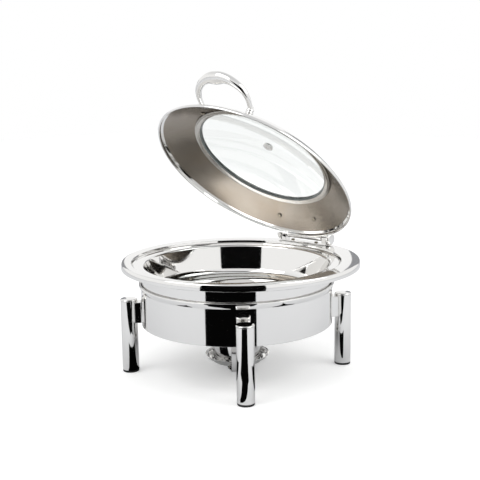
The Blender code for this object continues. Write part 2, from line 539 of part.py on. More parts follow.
barrel_y = HINGE_Y - AXIS_Y
lift_y = LID_R - 7.4       # behind this the leaf leaves the dome for the barrel
stations = [LID_R + d for d in (-44.4, -41.4, -36.4, -28.4, -17.4, -7.4, -0.4, 4.6)]
stations.append(barrel_y - 3.5)
across_n = 8
rows = []
for y in stations:
    w = leaf_half(y)
    low_row, high_row = [], []
    for k in range(across_n + 1):
        x = w * (2.0 * k / across_n - 1.0)
        near = min(y, lift_y)
        low = dome_point(x, near, GAP)[0].z
        high = dome_point(x, near, GAP + LEAF_T)[0].z
        if y > lift_y:
            t = (y - lift_y) / (barrel_y - 3.5 - lift_y)
            flat = HINGE_Z + BARREL_R - 1.2 - 3.0
            low = low * (1.0 - t) + (flat - 1.0) * t
            high = high * (1.0 - t) + (flat + LEAF_T - 0.4) * t
        low_row.append((x, AXIS_Y + y, low))
        high_row.append((x, AXIS_Y + y, high))
    rows.append(low_row + list(reversed(high_row)))
leaf = lid_piece(skin(rows), "hinge_leaf", "steel")
cut(leaf, rod(BARREL_R, 2.0 * BARREL_HALF, 24, (-BARREL_HALF, HINGE_Y, HINGE_Z), (1.0, 0.0, 0.0)),
    operation="UNION")
cut(leaf, rod(PIN_R + GAP, 2.0 * tool_half, 20, (-tool_half, HINGE_Y, HINGE_Z), (1.0, 0.0, 0.0)))
rivet_x, rivet_y = BARREL_HALF + 0.3, LID_R - 34.4
for s, name in ((-1.0, "left"), (1.0, "right")):
    at, normal = dome_point(s * rivet_x, rivet_y)
    hole = rod(2.8, 16.0, N_SMALL, at - normal * 8.0, normal)
    cut(leaf, lid_tool(hole))
    cut(shell, lid_tool(rod(2.8, 16.0, N_SMALL, at - normal * 8.0, normal)))
    lid_piece(lathe_on([(0.0, 0.0), (3.2, 0.7), (4.8, 2.8), (2.5, 2.8), (2.5, 8.0), (4.6, 8.0),
                        (3.0, 9.6), (0.0, 10.2)], N_SMALL,
                       at - normal * (LID_SHEET + 2.0 * GAP + 2.8), normal),
              "leaf_rivet_" + name, "steel")

# ---- handle --------------------------------------------------------------------------
rake = math.radians(HANDLE_RAKE_DEG)
along = Vector((0.0, -math.sin(rake), math.cos(rake)))
normal_of_arch = Vector((0.0, -math.cos(rake), -math.sin(rake)))
collar_h = 9.0
foot, foot_n = dome_point(FEET_HALF, -FEET_BACK, GAP)
top_of_collar = foot + foot_n * (collar_h + GAP)
# centre line as (half spread, reach), then half thickness outward, inward and sideways
REACH, SPREAD = HANDLE_REACH / 74.0, FEET_HALF / 56.8
arch = [(58.6, 5.0, 4.3, 4.3, 4.6), (59.2, 13.0, 4.2, 4.2, 4.8), (58.8, 23.0, 4.6, 4.6, 5.4),
        (54.8, 35.0, 5.6, 5.6, 6.4), (46.0, 46.0, 7.0, 6.6, 7.4), (34.0, 54.8, 8.4, 7.6, 8.2),
        (21.0, 60.8, 9.4, 8.6, 8.8), (10.0, 63.2, 10.2, 12.0, 9.2), (0.0, 63.6, 10.4, 16.0, 9.4)]
base_mid = Vector((0.0, top_of_collar.y, top_of_collar.z))
stations = []
for spread, reach, out, inward, thick in arch:
    stations.append((base_mid + Vector((spread * SPREAD, 0.0, 0.0)) + along * reach * REACH,
                     out, inward, thick))
centres = [p for p, _, _, _ in stations]
mirror = [Vector((-p.x, p.y, p.z)) for p in reversed(centres[:-1])]
line = centres + mirror
sizes = [s[1:] for s in stations] + [s[1:] for s in reversed(stations[:-1])]
N_GRIP = 12


def ring_about(p, tangent, out_dir, out, inward, thick):
    side = tangent.cross(out_dir).normalized()
    found = []
    for k in range(N_GRIP):
        a = 2.0 * math.pi * k / N_GRIP
        c, s_ = math.cos(a), math.sin(a)
        found.append(p + out_dir * (c * (out if c > 0.0 else inward)) + side * (s_ * thick))
    return found


rows = []
first_dir = Vector((1.0, 0.0, 0.0))
first_dir = (first_dir - foot_n * first_dir.dot(foot_n)).normalized()
rows.append(ring_about(top_of_collar, foot_n, first_dir, 5.2, 5.2, 5.2))
rows.append(ring_about(top_of_collar + foot_n * 1.5, foot_n, first_dir, 5.0, 5.0, 5.0))
for k, p in enumerate(line):
    before = line[k - 1] if k else top_of_collar + foot_n * 1.5
    last_n = Vector((-foot_n.x, foot_n.y, foot_n.z))
    last_top = Vector((-top_of_collar.x, top_of_collar.y, top_of_collar.z)) + last_n * 1.5
    after = line[k + 1] if k < len(line) - 1 else last_top
    tangent = (after - before).normalized()
    out_dir = tangent.cross(normal_of_arch)
    out_dir = (out_dir - tangent * out_dir.dot(tangent)).normalized()
    if k == 0:
        sign = 1.0 if out_dir.x > 0.0 else -1.0
    rows.append(ring_about(p, tangent, out_dir * sign, *sizes[k]))
end_n = Vector((-foot_n.x, foot_n.y, foot_n.z))
end_top = Vector((-top_of_collar.x, top_of_collar.y, top_of_collar.z))
end_dir = Vector((-1.0, 0.0, 0.0))
end_dir = (end_dir - end_n * end_dir.dot(end_n)).normalized()
rows.append(ring_about(end_top + end_n * 1.5, -end_n, end_dir, 5.0, 5.0, 5.0))
rows.append(ring_about(end_top, -end_n, end_dir, 5.2, 5.2, 5.2))
grip = lid_piece(skin(rows), "lid_handle", "steel")
for s, name in ((-1.0, "left"), (1.0, "right")):
    at, normal = dome_point(s * FEET_HALF, -FEET_BACK)
    cut(grip, lid_tool(rod(2.3, 19.0, N_SMALL, at, normal)))
    cut(shell, lid_tool(rod(2.3, 12.0, N_SMALL, at - normal * 6.0, normal)))
    lid_piece(lathe_on([(2.3, 0.0), (7.4, 0.4), (7.4, 2.2), (5.8, 2.8), (5.6, 3.8), (6.8, 4.6),
                        (7.0, 6.4), (5.8, 8.0), (5.4, collar_h), (2.3, collar_h)], 16,
                       at + normal * GAP, normal), "handle_collar_" + name, "steel")
    lid_piece(lathe_on([(0.0, 0.0), (3.0, 0.4), (4.6, 1.8), (4.6, 2.6), (2.0, 2.6), (2.0, 19.0),
                        (0.0, 19.0)], N_SMALL, at - normal * (LID_SHEET + 2.0 * GAP + 2.6), normal),
              "handle_screw_" + name, "steel")
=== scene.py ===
# %% [markdown]
# A round chafing dish, dressed for its portrait. The frame holds the solids: a ring stand
# on four tube legs, a water pan with a wide rim, a food pan, a hinged lid with a glass window,
# and a burner in a tray. Those solids are faceted, so this lesson turns, lofts and bevels the
# same pieces again with smooth skins, and then polishes, brushes and moulds their surfaces.

# %% Load the frame and keep its box
import json
import math

import bmesh
import bpy
from mathutils import Matrix, Vector


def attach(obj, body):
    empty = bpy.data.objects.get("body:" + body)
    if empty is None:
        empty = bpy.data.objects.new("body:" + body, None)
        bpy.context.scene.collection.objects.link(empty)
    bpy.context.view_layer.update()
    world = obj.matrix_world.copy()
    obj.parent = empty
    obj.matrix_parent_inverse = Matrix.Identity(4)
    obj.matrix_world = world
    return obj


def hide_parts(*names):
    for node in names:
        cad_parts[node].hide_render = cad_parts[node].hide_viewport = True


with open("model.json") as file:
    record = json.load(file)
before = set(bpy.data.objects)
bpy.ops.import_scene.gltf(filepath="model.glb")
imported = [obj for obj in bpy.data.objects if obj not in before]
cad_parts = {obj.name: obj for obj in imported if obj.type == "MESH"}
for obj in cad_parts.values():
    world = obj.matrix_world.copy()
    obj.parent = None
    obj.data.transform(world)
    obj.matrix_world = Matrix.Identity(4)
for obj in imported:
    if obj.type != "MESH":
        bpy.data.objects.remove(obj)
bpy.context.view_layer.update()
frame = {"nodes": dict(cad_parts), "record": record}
MM = 0.001

# %% [markdown]
# The camera comes first, because every later choice is judged through it. It stands in front
# of the dish and to its right, a little above the rim, and looks slightly down. It is aimed
# with its own three directions, so that the small roll of the tripod head is kept.

# %% Camera
AXIS_Y = -13.0 * MM
CAMERA_AZIMUTH, CAMERA_DISTANCE, CAMERA_HEIGHT = math.radians(41.25), 1.6726, 0.5573
PAN, TILT, ROLL = math.radians(0.272), math.radians(10.359), math.radians(-0.780)
LENS_MM = 66.88


def turned_to_camera_side(v):
    """A direction given as (right, away, up) from the camera's side, in the frame's axes."""
    c, s = math.cos(CAMERA_AZIMUTH), math.sin(CAMERA_AZIMUTH)
    return Vector((v[0] * c - v[1] * s, v[0] * s + v[1] * c, v[2]))


def aim_camera():
    forward = turned_to_camera_side((math.sin(PAN) * math.cos(TILT),
                                     math.cos(PAN) * math.cos(TILT), -math.sin(TILT)))
    right = turned_to_camera_side((math.cos(PAN), -math.sin(PAN), 0.0))
    up = right.cross(forward)
    across = right * math.cos(ROLL) + up * math.sin(ROLL)
    above = up * math.cos(ROLL) - right * math.sin(ROLL)
    turn = Matrix((across, above, -forward)).transposed().to_4x4()
    place = turned_to_camera_side((0.0, -CAMERA_DISTANCE, CAMERA_HEIGHT))
    data = bpy.data.cameras.new("camera")
    data.lens = LENS_MM
    data.sensor_width = 36.0
    camera = bpy.data.objects.new("camera", data)
    camera.matrix_world = Matrix.Translation(place + Vector((0.0, AXIS_Y, 0.0))) @ turn
    bpy.context.scene.collection.objects.link(camera)
    bpy.context.scene.camera = camera
    print("camera at", [round(x, 3) for x in camera.matrix_world.translation])


aim_camera()

# %% [markdown]
# A mirror shows the room and not itself, so the studio is part of the finish. The room is a
# white tent. A pale grey sheet on the table greys the polished walls a little. Black card lies
# on it towards the camera and draws the crisp black band on the ring, small pieces of card draw
# the stripes on the legs, and two grey flags behind the dish edge its silhouette. Sheet, cards
# and flags are seen in reflections only.

# %% Colour, and one helper for nodes
def srgb(code):
    """Linear RGBA from a hex colour."""
    parts = [int(code[k:k + 2], 16) / 255.0 for k in (1, 3, 5)]
    return tuple(p / 12.92 if p <= 0.04045 else ((p + 0.055) / 1.055) ** 2.4 for p in parts) + (1.0,)


def add_node(tree, kind, inputs=None, **settings):
    """Add one node. Settings are its properties; inputs are values, or sockets to link."""
    node = tree.nodes.new(kind)
    for key, value in settings.items():
        setattr(node, key, value)
    for key, value in (inputs or {}).items():
        if isinstance(value, bpy.types.NodeSocket):
            tree.links.new(value, node.inputs[key])
        else:
            node.inputs[key].default_value = value
    return node


def plain(name, colour, rough, **values):
    """A new material with its Principled shader set, and that shader."""
    mat = bpy.data.materials.new(name)
    mat.use_nodes = True
    shader = mat.node_tree.nodes["Principled BSDF"]
    shader.inputs["Base Color"].default_value = srgb(colour)
    shader.inputs["Roughness"].default_value = rough
    for key, value in values.items():
        shader.inputs[key.replace("_", " ")].default_value = value
    return mat, shader


# %% Studio: tent, floor, cards and lamps
RING_R, LEG_CENTRE_R, LEG_R = 183.6, 207.0, 15.9     # mm: ring, circle of the legs, one leg
CARD_FROM, CARD_TO, CARD_UP = 0.14, 2.4, 1.5         # metres: from the ring, and its height


def stage_sheet(name, corners, mat, reflections_only=True):
    mesh = bpy.data.meshes.new(name)
    mesh.from_pydata([tuple(c) for c in corners], [], [(0, 1, 2, 3)])
    mesh.materials.append(mat)
    sheet = bpy.data.objects.new(name, mesh)
    bpy.context.scene.collection.objects.link(sheet)
    if reflections_only:
        sheet.visible_camera = False
        sheet.visible_diffuse = False
        sheet.visible_shadow = False
        sheet.visible_transmission = False
    return sheet


def studio_point(right, towards, up):
    """A place given from the ring's axis: to the camera's right, towards it, and up."""
    return turned_to_camera_side((right, -towards, up)) + Vector((0.0, AXIS_Y, 0.0))


def black_card(card):
    """Card on the table, with edges along the rays that the ring's band mirrors."""
    edges = []
    for normal_deg in (-18.6, 11.3):
        n = math.radians(normal_deg)
        start = (RING_R * MM * math.sin(n), RING_R * MM * math.cos(n))
        edges.append([(start[0] + t * math.sin(2.0 * n), start[1] + t * math.cos(2.0 * n))
                      for t in (CARD_FROM, CARD_TO)])
    (near_l, far_l), (near_r, far_r) = edges
    stage_sheet("card_on_table", [studio_point(*near_l, 0.002), studio_point(*far_l, 0.002),
                                  studio_point(*far_r, 0.002), studio_point(*near_r, 0.002)], card)
    stage_sheet("card_behind_camera", [studio_point(*far_l, 0.0), studio_point(*far_r, 0.0),
                                       studio_point(*far_r, CARD_UP), studio_point(*far_l, CARD_UP)],
                card)


def leg_card(name, bearing_deg, first_deg, last_deg, reach, card):
    """Card on the table in front of one leg, where the leg mirrors it as an upright stripe."""
    bearing = math.radians(bearing_deg)
    leg = (LEG_CENTRE_R * MM * math.sin(bearing), LEG_CENTRE_R * MM * math.cos(bearing))
    facing = math.atan2(-leg[0], CAMERA_DISTANCE - leg[1])
    edges = []
    for normal_deg in (first_deg, last_deg):
        n = math.radians(normal_deg)
        start = (leg[0] + LEG_R * MM * math.sin(facing + n),
                 leg[1] + LEG_R * MM * math.cos(facing + n))
        ray = facing + 2.0 * n
        edges.append([(start[0] + t * math.sin(ray), start[1] + t * math.cos(ray))
                      for t in (0.0, reach)])
    (near_l, far_l), (near_r, far_r) = edges
    stage_sheet(name, [studio_point(*near_l, 0.0025), studio_point(*far_l, 0.0025),
                       studio_point(*far_r, 0.0025), studio_point(*near_r, 0.0025)], card)


def flag(name, start_deg, end_deg, height, mat):
    """Upright flag behind the dish, between two bearings from straight away."""
    reach = 2.2
    ends = [(reach * math.sin(math.radians(a)), -reach * math.cos(math.radians(a)))
            for a in (start_deg, end_deg)]
    stage_sheet(name, [studio_point(*ends[0], 0.0), studio_point(*ends[1], 0.0),
                       studio_point(*ends[1], height), studio_point(*ends[0], height)], mat)


def lamp(name, right, towards, up, size, watts):
    data = bpy.data.lights.new(name, "AREA")
    data.size = size
    data.energy = watts
    light = bpy.data.objects.new(name, data)
    place = studio_point(right, towards, up)
    aim = Vector((0.0, AXIS_Y, 0.2)) - place
    light.matrix_world = (Matrix.Translation(place)
                          @ aim.to_track_quat("-Z", "Y").to_matrix().to_4x4())
    bpy.context.scene.collection.objects.link(light)


def studio():
    world = bpy.context.scene.world or bpy.data.worlds.new("tent")
    bpy.context.scene.world = world
    world.use_nodes = True
    tree = world.node_tree
    tree.nodes.clear()
    place = add_node(tree, "ShaderNodeTexCoord")
    height = add_node(tree, "ShaderNodeSeparateXYZ", {"Vector": place.outputs["Generated"]})
    tent = add_node(tree, "ShaderNodeValToRGB", {"Fac": height.outputs["Z"]})
    tent.color_ramp.elements[0].color = srgb("#FFFFFF")
    tent.color_ramp.elements[1].color = srgb("#D9DADC")
    middle = tent.color_ramp.elements.new(0.35)
    middle.color = srgb("#FFFFFF")
    glow = add_node(tree, "ShaderNodeBackground", {"Color": tent.outputs["Color"], "Strength": 1.0})
    add_node(tree, "ShaderNodeOutputWorld", {"Surface": glow.outputs["Background"]})
    floor_mat, shader = plain("pale_floor", "#F4F4F3", 0.7)
    shader.inputs["Emission Color"].default_value = srgb("#FFFFFF")
    shader.inputs["Emission Strength"].default_value = 0.26
    stage_sheet("floor", [(-6, -6, 0), (6, -6, 0), (6, 6, 0), (-6, 6, 0)], floor_mat, False)
    card, shader = plain("black_card", "#050505", 0.9)
    shader.inputs["Specular IOR Level"].default_value = 0.0
    black_card(card)
    leg_card("card_front_leg", -3.75, -19.0, 20.0, 0.11, card)
    leg_card("card_left_leg", -93.75, -9.0, 30.0, 0.21, card)
    leg_card("card_right_leg", 86.25, -25.0, 8.0, 0.21, card)
    table, _ = plain("grey_table_sheet", "#DDDEE0", 0.9)
    stage_sheet("table_sheet", [(-5, -5, 0.001), (5, -5, 0.001), (5, 5, 0.001), (-5, 5, 0.001)],
                table)
    grey, _ = plain("grey_flag", "#8A8B8E", 0.9)
    flag("flag_left", -36.0, -14.0, 0.9, grey)
    flag("flag_right", 14.0, 36.0, 0.9, grey)
    lamp("key", -1.4, 0.9, 1.9, 1.6, 16.0)
    lamp("fill", 1.6, 0.6, 1.6, 1.4, 12.0)
    bpy.context.scene.view_settings.view_transform = "Standard"


studio()

# %% [markdown]
# Nearly everything here is 18/10 stainless sheet, 1 to 1.5 mm thick, spun or pressed and then
# buffed. Buffing leaves a mirror with two faults that the eye uses: a faint wave left by the
# spinning roller every few millimetres, and haze where cloths have wiped it. Both are drawn
# from the piece's own radius and place, so they turn with the piece.

# %% Mirror-buffed stainless steel
SPIN_PITCH_MM, HAZE_MM = 7.0, 45.0


def radius_of(tree, where):
    """Distance from the piece's own axis, in metres."""
    flat = add_node(tree, "ShaderNodeVectorMath", {0: where, 1: (1.0, 1.0, 0.0)},
                    operation="MULTIPLY")
    return add_node(tree, "ShaderNodeVectorMath", {0: flat.outputs["Vector"]},
                    operation="LENGTH").outputs["Value"]


def spread(tree, value, low, high):
    """Value from 0..1 moved to low..high."""
    return add_node(tree, "ShaderNodeMapRange",
                    {"Value": value, "To Min": low, "To Max": high}).outputs["Result"]


def buffed_steel(name, colour, low, high, wave_um):
    """Spun and buffed sheet: haze in the roughness, roller waves in the bump."""
    mat, shader = plain(name, colour, low, Metallic=1.0)
    tree = mat.node_tree
    where = add_node(tree, "ShaderNodeTexCoord").outputs["Object"]
    haze = add_node(tree, "ShaderNodeTexNoise",
                    {"Vector": where, "Scale": 1.0 / (HAZE_MM * MM), "Detail": 6.0,
                     "Roughness": 0.65})
    tree.links.new(spread(tree, haze.outputs["Fac"], low, high), shader.inputs["Roughness"])
    waves = add_node(tree, "ShaderNodeTexNoise",
                     {"W": radius_of(tree, where), "Scale": 1.0 / (SPIN_PITCH_MM * MM),
                      "Detail": 2.0}, noise_dimensions="1D")
    bump = add_node(tree, "ShaderNodeBump", {"Height": waves.outputs["Fac"], "Strength": 1.0,
                                             "Distance": wave_um * 1e-6})
    tree.links.new(bump.outputs["Normal"], shader.inputs["Normal"])
    return mat


mirror = buffed_steel("stainless_spun_and_buffed", "#EDECEA", 0.035, 0.075, 6.0)
mirror_fine = buffed_steel("stainless_tube_polished", "#EDECEA", 0.035, 0.070, 1.0)

# %% [markdown]
# The inside of the lid isn't buffed. It keeps the satin of the scouring belt that ran round it
# as it turned, so it has thousands of fine rings and mirrors only soft shapes. Real rings are
# about 0.05 mm apart; they are drawn 0.8 mm apart, as fine as the render can hold. Steel that
# has been heated and steamed also goes slightly warm.

# %% Satin stainless steel, ringed
RING_MM, STAIN_MM = 0.8, 60.0


def satin_steel(name, colour, stain, low, high, ring_um, aniso):
    mat, shader = plain(name, colour, low, Metallic=1.0, Anisotropic=aniso)
    tree = mat.node_tree
    where = add_node(tree, "ShaderNodeTexCoord").outputs["Object"]
    rings = add_node(tree, "ShaderNodeTexNoise",
                     {"W": radius_of(tree, where), "Scale": 1.0 / (RING_MM * MM), "Detail": 3.0,
                      "Roughness": 0.7}, noise_dimensions="1D")
    tree.links.new(spread(tree, rings.outputs["Fac"], low, high), shader.inputs["Roughness"])
    steam = add_node(tree, "ShaderNodeTexNoise", {"Vector": where, "Scale": 1.0 / (STAIN_MM * MM),
                                                  "Detail": 4.0})
    tint = add_node(tree, "ShaderNodeMix", {"Factor": steam.outputs["Fac"], "A": srgb(colour),
                                            "B": srgb(stain)}, data_type="RGBA")
    tree.links.new(tint.outputs["Result"], shader.inputs["Base Color"])
    bump = add_node(tree, "ShaderNodeBump", {"Height": rings.outputs["Fac"], "Strength": 1.0,
                                             "Distance": ring_um * 1e-6})
    tree.links.new(bump.outputs["Normal"], shader.inputs["Normal"])
    tangent = add_node(tree, "ShaderNodeTangent", direction_type="RADIAL", axis="Z")
    tree.links.new(tangent.outputs["Tangent"], shader.inputs["Tangent"])
    return mat


satin_inside = satin_steel("stainless_satin_ringed", "#A39D95", "#8B8072", 0.15, 0.27, 2.0, 0.45)
satin_plate = satin_steel("stainless_satin_fitting", "#D2D0CC", "#C4C0B9", 0.14, 0.24, 1.0, 0.2)

# %% [markdown]
# Three finishes are left. Screws, rivets and pins are turned bar, so they carry fine tool rings
# and are a shade darker. Feet and gasket are moulded: nitrile rubber comes out of its mould dull
# with a grain of about 0.3 mm, silicone a little glossier. The window is toughened soda-lime
# glass, nearly clear, too smooth for any bump, with a faint haze where it was wiped.

# %% Turned bar, rubber, silicone and glass
GRAIN_MM = 0.3


def moulded(name, colour, rough, grain_um):
    mat, shader = plain(name, colour, rough)
    tree = mat.node_tree
    where = add_node(tree, "ShaderNodeTexCoord").outputs["Object"]
    grain = add_node(tree, "ShaderNodeTexNoise", {"Vector": where, "Detail": 3.0,
                                                  "Scale": 1.0 / (GRAIN_MM * MM)})
    tree.links.new(spread(tree, grain.outputs["Fac"], rough - 0.08, rough + 0.08),
                   shader.inputs["Roughness"])
    bump = add_node(tree, "ShaderNodeBump", {"Height": grain.outputs["Fac"], "Strength": 1.0,
                                             "Distance": grain_um * 1e-6})
    tree.links.new(bump.outputs["Normal"], shader.inputs["Normal"])
    return mat


turned_bar = satin_steel("stainless_turned_bar", "#A8A196", "#8F8472", 0.10, 0.20, 1.5, 0.0)
rubber = moulded("nitrile_rubber_moulded", "#131313", 0.62, 30.0)
silicone = moulded("silicone_moulded", "#6E7473", 0.42, 12.0)
glass, glass_shader = plain("soda_lime_glass_toughened", "#FAFCFB", 0.0, IOR=1.52)
glass_shader.inputs["Transmission Weight"].default_value = 1.0
wiped = add_node(glass.node_tree, "ShaderNodeTexNoise",
                 {"Vector": add_node(glass.node_tree, "ShaderNodeTexCoord").outputs["Object"],
                  "Scale": 1.0 / (HAZE_MM * MM), "Detail": 4.0})
glass.node_tree.links.new(spread(glass.node_tree, wiped.outputs["Fac"], 0.0, 0.03),
                          glass_shader.inputs["Roughness"])
print("materials:", [m.name for m in bpy.data.materials if m.name.startswith(("stain", "nitr", "sil"))])

# %% [markdown]
# A spun or turned piece is one outline swept round an axis. What makes it look made of sheet
# is its edges: no press leaves a sharp corner, so each corner of an outline is rounded before
# the sweep, and the highlight runs along the round. The rim is the exception to one axis: its
# outer circle is centred 13 mm nearer the hinge than the pan, so those points reach to it.

# %% Rounded outlines, swept round an axis
BIG_STEPS, LEG_STEPS, SMALL_STEPS = 192, 64, 40


def rounded(points, closed, default=0.6, steps=4):
    """Outline with corners rounded. A point is (r, z), (r, z, radius) or (r, z, radius, "rim")."""
    out = []
    count = len(points)
    for k, point in enumerate(points):
        radius = point[2] if len(point) > 2 else default
        tail = tuple(point[3:])
        here = Vector(point[:2])
        if radius == 0.0 or (not closed and k in (0, count - 1)):
            out.append((here.x, here.y) + tail)
            continue
        back = Vector(points[k - 1][:2]) - here
        ahead = Vector(points[(k + 1) % count][:2]) - here
        reach = min(radius, 0.45 * back.length, 0.45 * ahead.length)
        a = here + back.normalized() * reach
        b = here + ahead.normalized() * reach
        for j in range(steps + 1):
            t = j / steps
            q = a * (1 - t) ** 2 + here * 2 * t * (1 - t) + b * t * t
            out.append((q.x, q.y) + tail)
    return out


def rim_reach(r, angle):
    """From the pan's axis to a circle of radius r about the rim's centre, in mm."""
    off = -AXIS_Y / MM
    return off * math.sin(angle) + math.sqrt(r * r - (off * math.cos(angle)) ** 2)


def object_from(bm, name, materials, place=Matrix.Identity(4), sharp_deg=40.0):
    """Link a millimetre bmesh as a smooth-shaded object in metres."""
    bmesh.ops.remove_doubles(bm, verts=bm.verts, dist=0.00005)
    bmesh.ops.recalc_face_normals(bm, faces=bm.faces)
    bmesh.ops.scale(bm, vec=(MM, MM, MM), verts=bm.verts)
    mesh = bpy.data.meshes.new(name)
    bm.to_mesh(mesh)
    bm.free()
    for mat in materials:
        mesh.materials.append(mat)
    mesh.shade_smooth()
    mesh.set_sharp_from_angle(angle=math.radians(sharp_deg))
    piece = bpy.data.objects.new(name, mesh)
    bpy.context.scene.collection.objects.link(piece)
    piece.matrix_world = place
    return piece


def sweep(outline, steps, closed):
    bm = bmesh.new()
    rows = []
    for point in outline:
        if point[0] == 0.0:
            rows.append([bm.verts.new((0.0, 0.0, point[1]))])
            continue
        row = []
        for k in range(steps):
            a = 2.0 * math.pi * k / steps
            reach = rim_reach(point[0], a) if len(point) > 2 else point[0]
            row.append(bm.verts.new((reach * math.cos(a), reach * math.sin(a), point[1])))
        rows.append(row)
    for low, high in zip(rows, rows[1:] + (rows[:1] if closed else [])):
        for k in range(steps):
            m = (k + 1) % steps
            if len(low) == 1:
                bm.faces.new((low[0], high[k], high[m]))
            elif len(high) == 1:
                bm.faces.new((low[k], low[m], high[0]))
            else:
                bm.faces.new((low[k], low[m], high[m], high[k]))
    return bm


def settle(piece, body, slot, *nodes):
    """Say which body a piece moves with, and hide the CAD nodes it stands for. The slot is not used."""
    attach(piece, body)
    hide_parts(*nodes)
    return piece


def at(x, y, z, direction=(0.0, 0.0, 1.0)):
    """Place, in mm, with local +Z laid along a direction."""
    turn = Vector((0.0, 0.0, 1.0)).rotation_difference(Vector(direction)).to_matrix().to_4x4()
    return Matrix.Translation(Vector((x, y, z)) * MM) @ turn


def turned(name, points, mat, place, steps=SMALL_STEPS, default=0.4):
    """A turned piece. Its outline is closed unless it starts and ends on the axis."""
    closed = not (points[0][0] == 0.0 and points[-1][0] == 0.0)
    return object_from(sweep(rounded(points, closed, default), steps, closed), name, [mat], place)


# %% [markdown]
# The stand. A rolled ring of 1.5 mm sheet flares into a lip at the top, and the water pan's
# shoulder drops into it. The crease under the flare and the contact line above it are the two
# dark lines that run round the body, so the flare's profile is followed closely.

# %% Stand ring
AXIS = AXIS_Y / MM
GAP, RING_SHEET = 0.3, 1.5
RING_Z0, RING_Z1 = 96.0, 174.6
LEDGE_Z, LEDGE_R = RING_Z1 - 6.6, RING_R - 8.2
ring_in = RING_R - RING_SHEET
ring_outline = [(RING_R, RING_Z0, 0.5), (RING_R, RING_Z1 - 11.2, 0.4), (RING_R + 1.2, RING_Z1 - 9.2, 1.2),
                (RING_R + 3.4, RING_Z1 - 3.0, 1.6), (RING_R + 2.8, RING_Z1 - 0.7, 1.2),
                (RING_R + 1.0, RING_Z1, 0.9), (RING_R - 1.4, RING_Z1 - 0.8, 0.8),
                (ring_in, LEDGE_Z, 0.3), (LEDGE_R, LEDGE_Z, 0.3), (LEDGE_R, LEDGE_Z - RING_SHEET, 0.3),
                (ring_in, LEDGE_Z - RING_SHEET, 0.3), (ring_in, RING_Z0, 0.5)]
ring = turned("stand_ring_skin", ring_outline, mirror, at(0, AXIS, 0), BIG_STEPS)
settle(ring, "stand", "polished_steel", "stand_ring")

# %% [markdown]
# Each leg is polished tube with a domed cap pressed into its top and a rubber foot pushed into
# its bottom. A block with two hollow faces holds it off the ring, and a bolt from inside pulls
# all three together. The four sets are the same, so a loop makes them.

# %% Legs, caps, feet, blocks and bolts
LEG_TOP, FOOT_BAND, BORE_R = 144.0, 4.0, LEG_R - 1.5
BLOCK_HALF, BLOCK_Z0, BLOCK_Z1, BOLT_Z, SCREW_Z = 12.0, 97.5, 137.5, 124.0, 108.5
LEGS = {"front_right": -45.0, "rear_right": 45.0, "rear_left": 135.0, "front_left": 225.0}


def polar(angle_deg, reach, side=0.0):
    """Plan point at a reach from the pan's axis, moved sideways to its left, in mm."""
    a = math.radians(angle_deg)
    return (reach * math.cos(a) - side * math.sin(a),
            AXIS + reach * math.sin(a) + side * math.cos(a))


def bevelled(piece, width_mm, segments=3):
    bevel = piece.modifiers.new("edge", "BEVEL")
    bevel.width = width_mm * MM
    bevel.segments = segments
    bevel.limit_method = "ANGLE"
    bevel.angle_limit = math.radians(35.0)
    bevel.harden_normals = True
    return piece


def plate(name, outline, low, high, mat, edge=0.5, place=Matrix.Identity(4)):
    """Upright plate over a plan outline, with bevelled edges."""
    bm = bmesh.new()
    bottom = [bm.verts.new((x, y, low)) for x, y in outline]
    top = [bm.verts.new((x, y, high)) for x, y in outline]
    bm.faces.new(list(reversed(bottom)))
    bm.faces.new(top)
    for k in range(len(outline)):
        m = (k + 1) % len(outline)
        bm.faces.new((bottom[k], bottom[m], top[m], top[k]))
    return bevelled(object_from(bm, name, [mat], place), edge)


def bored(piece, hole_r, start, end):
    """Drill an upright round hole through a piece, between two heights in millimetres."""
    bm = bmesh.new()
    bmesh.ops.create_cone(bm, cap_ends=True, segments=SMALL_STEPS, radius1=hole_r, radius2=hole_r,
                          depth=end[2] - start[2])
    bmesh.ops.translate(bm, vec=(Vector(start) + Vector(end)) * 0.5, verts=bm.verts)
    drill = object_from(bm, "drill", [])
    hole = piece.modifiers.new("hole", "BOOLEAN")
    hole.object, hole.solver = drill, "EXACT"
    bpy.context.view_layer.update()
    bored_mesh = bpy.data.meshes.new_from_object(
        piece.evaluated_get(bpy.context.evaluated_depsgraph_get()))
    piece.modifiers.clear()
    piece.data = bored_mesh
    bored_mesh.set_sharp_from_angle(angle=math.radians(40.0))
    bpy.data.objects.remove(drill, do_unlink=True)
    return piece


